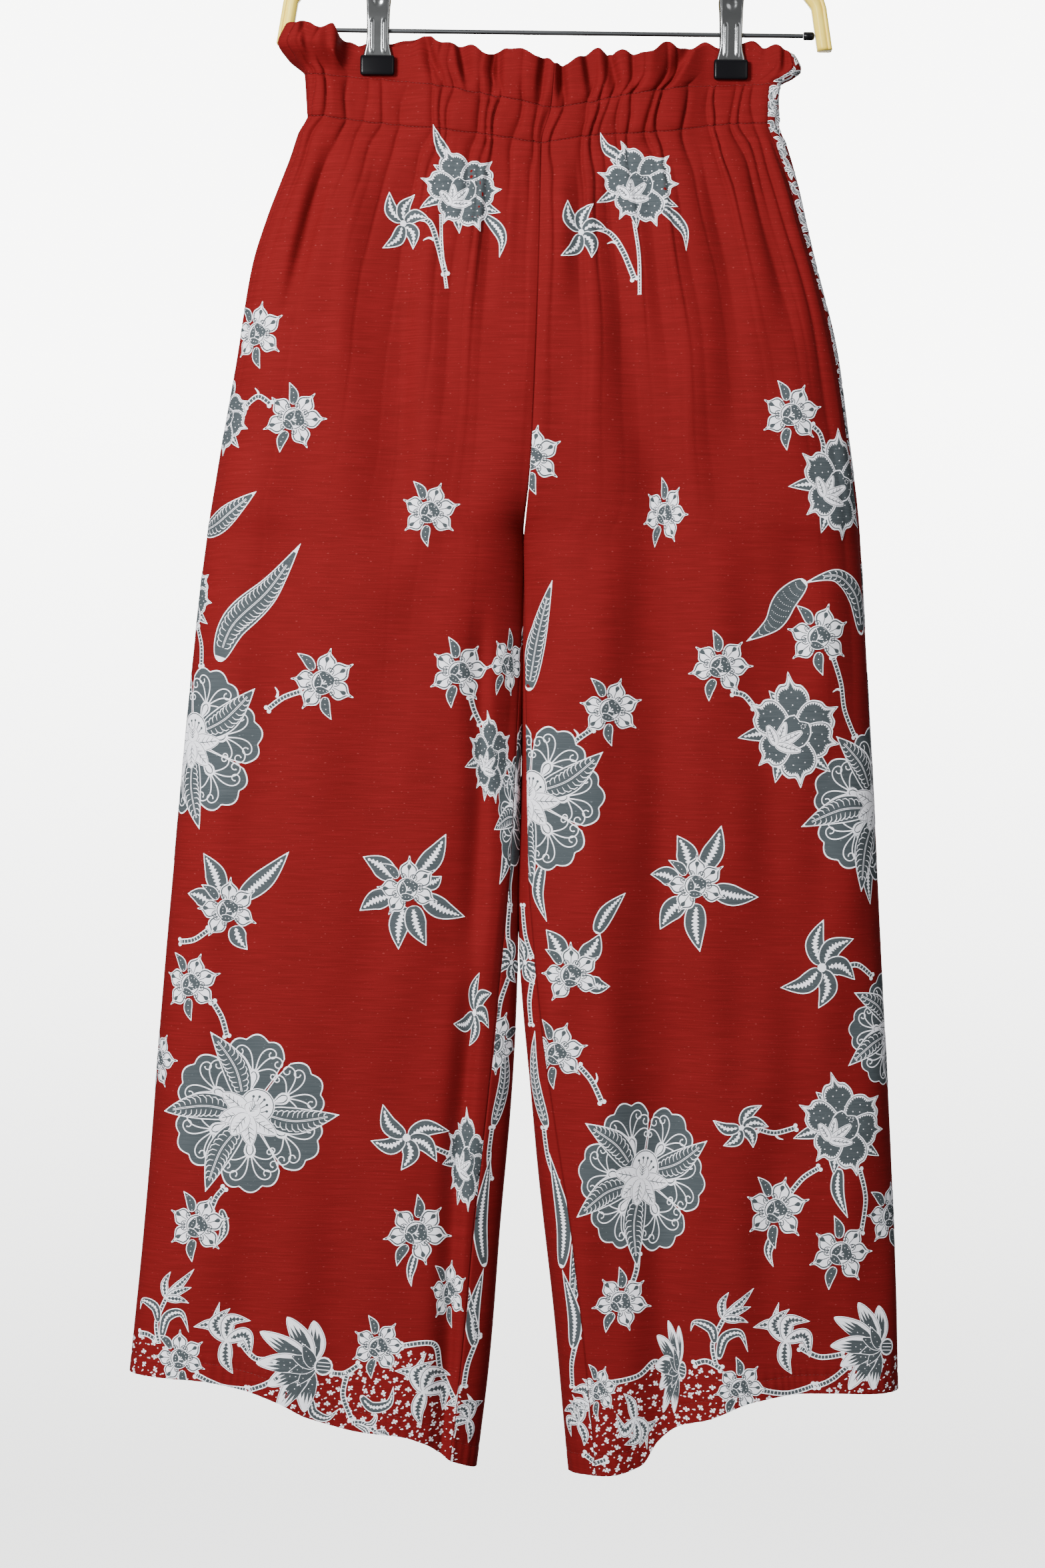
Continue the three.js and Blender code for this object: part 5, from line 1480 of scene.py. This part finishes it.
# Profiles along the rod: X and radius. A cap's starts at capStart, and a sleeve's is cut by shallow grooves.
capStart = 192.04
capSteps = [(0, 2.6), (0.5, 3.2), (6.6, 3.2), (7.9, 2.6), (8.5, 1.2)]
sleeve = dict(turns=5, pitch=2.24, half=5.6, end=6.1, bore=1.9, bevel=4.6, radius=5.0, groove=4.4)


def sleeveProfile(middle):
    half, end, radius = sleeve["half"], sleeve["end"], sleeve["radius"]
    profile = [(middle - end, sleeve["bore"]), (middle - end, sleeve["bevel"]), (middle - half, radius)]
    for turn in range(sleeve["turns"]):
        start = middle - half + turn * sleeve["pitch"]
        profile += [(start + 0.5, radius), (start + 1.12, sleeve["groove"]), (start + 1.74, radius)]
    profile += [(middle + half, radius), (middle + end, sleeve["bevel"]), (middle + end, sleeve["bore"])]
    return profile


for side, away in (("right", -1), ("left", 1)):
    capProfile = [(away * capStart + away * step, radius) for step, radius in capSteps]
    cap = addTube(f"{side}_cap_vinyl", latheRings(capProfile, rodHeight), blackVinyl)
    finishPiece(cap, f"{side}_rod_cap")
    middle = away * pinch["aside"]
    turning = addTube(f"{side}_sleeve_steel", latheRings(sleeveProfile(middle), rodHeight), chrome)
    finishPiece(turning, f"{side}_clip_sleeve")
    for face, out in (("front", -1), ("back", 1)):
        plate = platePiece(f"{side}_{face}_plate_steel", middle, out)
        finishPiece(plate, f"{side}_clip_{face}_plate")
        boot = padPiece(f"{side}_{face}_pad_vinyl", middle, out)
        finishPiece(boot, f"{side}_clip_{face}_pad")
print("hanger made")

# The backdrop's glow for the camera low down and high up, dimmer low down as painted shade, its share in
# reflections, and the two heights in metres
backdrop = dict(low=2.5, high=7.8, mirrored=0.12, foot=-2.2, top=0.2)


# The backdrop's white: it shines for the camera, faintly in reflections and not on the cloth, and its glow
# dims towards the foot as painted shade
def backdropMaterial():
    made, nodes, links, surface = newMaterial("paleBackdrop")
    rays = nodes.new("ShaderNodeLightPath")
    coordinates = nodes.new("ShaderNodeTexCoord")
    split = nodes.new("ShaderNodeSeparateXYZ")
    links.new(coordinates.outputs["Object"], split.inputs["Vector"])
    # Painted shade: the glow for the camera is dimmer low down and brighter high up
    height = nodes.new("ShaderNodeMapRange")
    for socket, key in (("From Min", "foot"), ("From Max", "top"), ("To Min", "low"), ("To Max", "high")):
        height.inputs[socket].default_value = backdrop[key]
    links.new(split.outputs["Z"], height.inputs["Value"])
    seen = nodes.new("ShaderNodeMath")
    seen.operation = "MULTIPLY"
    links.new(rays.outputs["Is Camera Ray"], seen.inputs[0])
    links.new(height.outputs["Result"], seen.inputs[1])
    mirrored = nodes.new("ShaderNodeMath")
    mirrored.operation = "MULTIPLY_ADD"
    links.new(rays.outputs["Is Glossy Ray"], mirrored.inputs[0])
    mirrored.inputs[1].default_value = backdrop["mirrored"]
    links.new(seen.outputs["Value"], mirrored.inputs[2])
    links.new(mirrored.outputs["Value"], surface.inputs["Emission Strength"])
    surface.inputs["Emission Color"].default_value = (1, 1, 0.985, 1)
    surface.inputs["Base Color"].default_value = (0.4, 0.4, 0.4, 1)
    surface.inputs["Roughness"].default_value = 0.95
    return made


bowl = dict(radius=4500.0, bend=1500, floor=-2300.0, rim=2600.0, around=96)


# The backdrop is a wide pale bowl, so that its floor and its back meet without a line
def bowlPiece():
    radius, bend, floor, around = bowl["radius"], bowl["bend"], bowl["floor"], bowl["around"]
    profile = [(radius - bend + bend * math.sin(a), floor + bend - bend * math.cos(a))
               for a in np.linspace(0, math.pi / 2, 14)] + [(radius, bowl["rim"])]
    angles = np.linspace(0, 2 * np.pi, around, endpoint=False)
    corners = np.array([[(r * math.cos(a), r * math.sin(a), z) for a in angles] for r, z in profile])
    r, c = (a.ravel() for a in np.meshgrid(np.arange(len(profile) - 1), np.arange(around), indexing="ij"))
    here, above, nextC = r * around, (r + 1) * around, (c + 1) % around
    faces = np.stack([here + c, here + nextC, above + nextC, above + c], axis=1)
    mesh = bpy.data.meshes.new("paleBowl")
    placed = corners.reshape(-1, 3) * millimetre
    mesh.from_pydata(placed.tolist(), [], faces.tolist() + [list(range(around))])
    mesh.polygons.foreach_set("use_smooth", np.full(len(mesh.polygons), True))
    mesh.materials.append(backdropMaterial())
    made = bpy.data.objects.new("paleBowl", mesh)
    bpy.context.scene.collection.objects.link(made)
    return made


bowlPiece()


# Each light's place, what it points at, its power and its size, in metres and watts
lights = {
    "key": ((-1.1, -1.7, 0.0), (0, 0, -0.45), 82, 0.6),
    "fill": ((1.9, -2.9, 0.2), (0, 0, -0.6), 33, 2.0),
    "lowFill": ((-0.9, -1.6, -1.3), (-0.15, 0, -1.15), 10, 0.9),
    "above": ((0, -0.6, 1.9), (0, 0, -0.9), 16, 1.6),
    "backFill": ((0.4, 2.6, 0.6), (0, 0, -0.75), 120, 2.2),
}
for name, (place, target, power, size) in lights.items():
    data = bpy.data.lights.new(name, "AREA")
    data.energy, data.size = power, size
    light = bpy.data.objects.new(name, data)
    light.location = place
    light.rotation_euler = (Vector(target) - Vector(place)).to_track_quat("-Z", "Y").to_euler()
    bpy.context.scene.collection.objects.link(light)
world = bpy.context.scene.world or bpy.data.worlds.new("pale")
bpy.context.scene.world = world
world.use_nodes = True
world.node_tree.nodes["Background"].inputs["Color"].default_value = (0.93, 0.94, 0.96, 1)
world.node_tree.nodes["Background"].inputs["Strength"].default_value = 0.3

# The camera stands as the photo's did: level, slightly rolled, the hanger's top above the frame
sensorWidth = 36
cameraAway, cameraX, cameraZ, frameHeight, roll = 2.1, -0.0174, -0.7593, 1.209, 0.0126
cameraData = bpy.data.cameras.new("camera")
cameraData.sensor_width = sensorWidth
cameraData.lens = sensorWidth * cameraAway / frameHeight
camera = bpy.data.objects.new("camera", cameraData)
camera.matrix_world = Matrix(((math.cos(roll), -math.sin(roll), 0, cameraX), (0, 0, -1, -cameraAway),
                              (math.sin(roll), math.cos(roll), 0, cameraZ), (0, 0, 0, 1)))
bpy.context.scene.collection.objects.link(camera)
bpy.context.scene.camera = camera

print("scene ready")
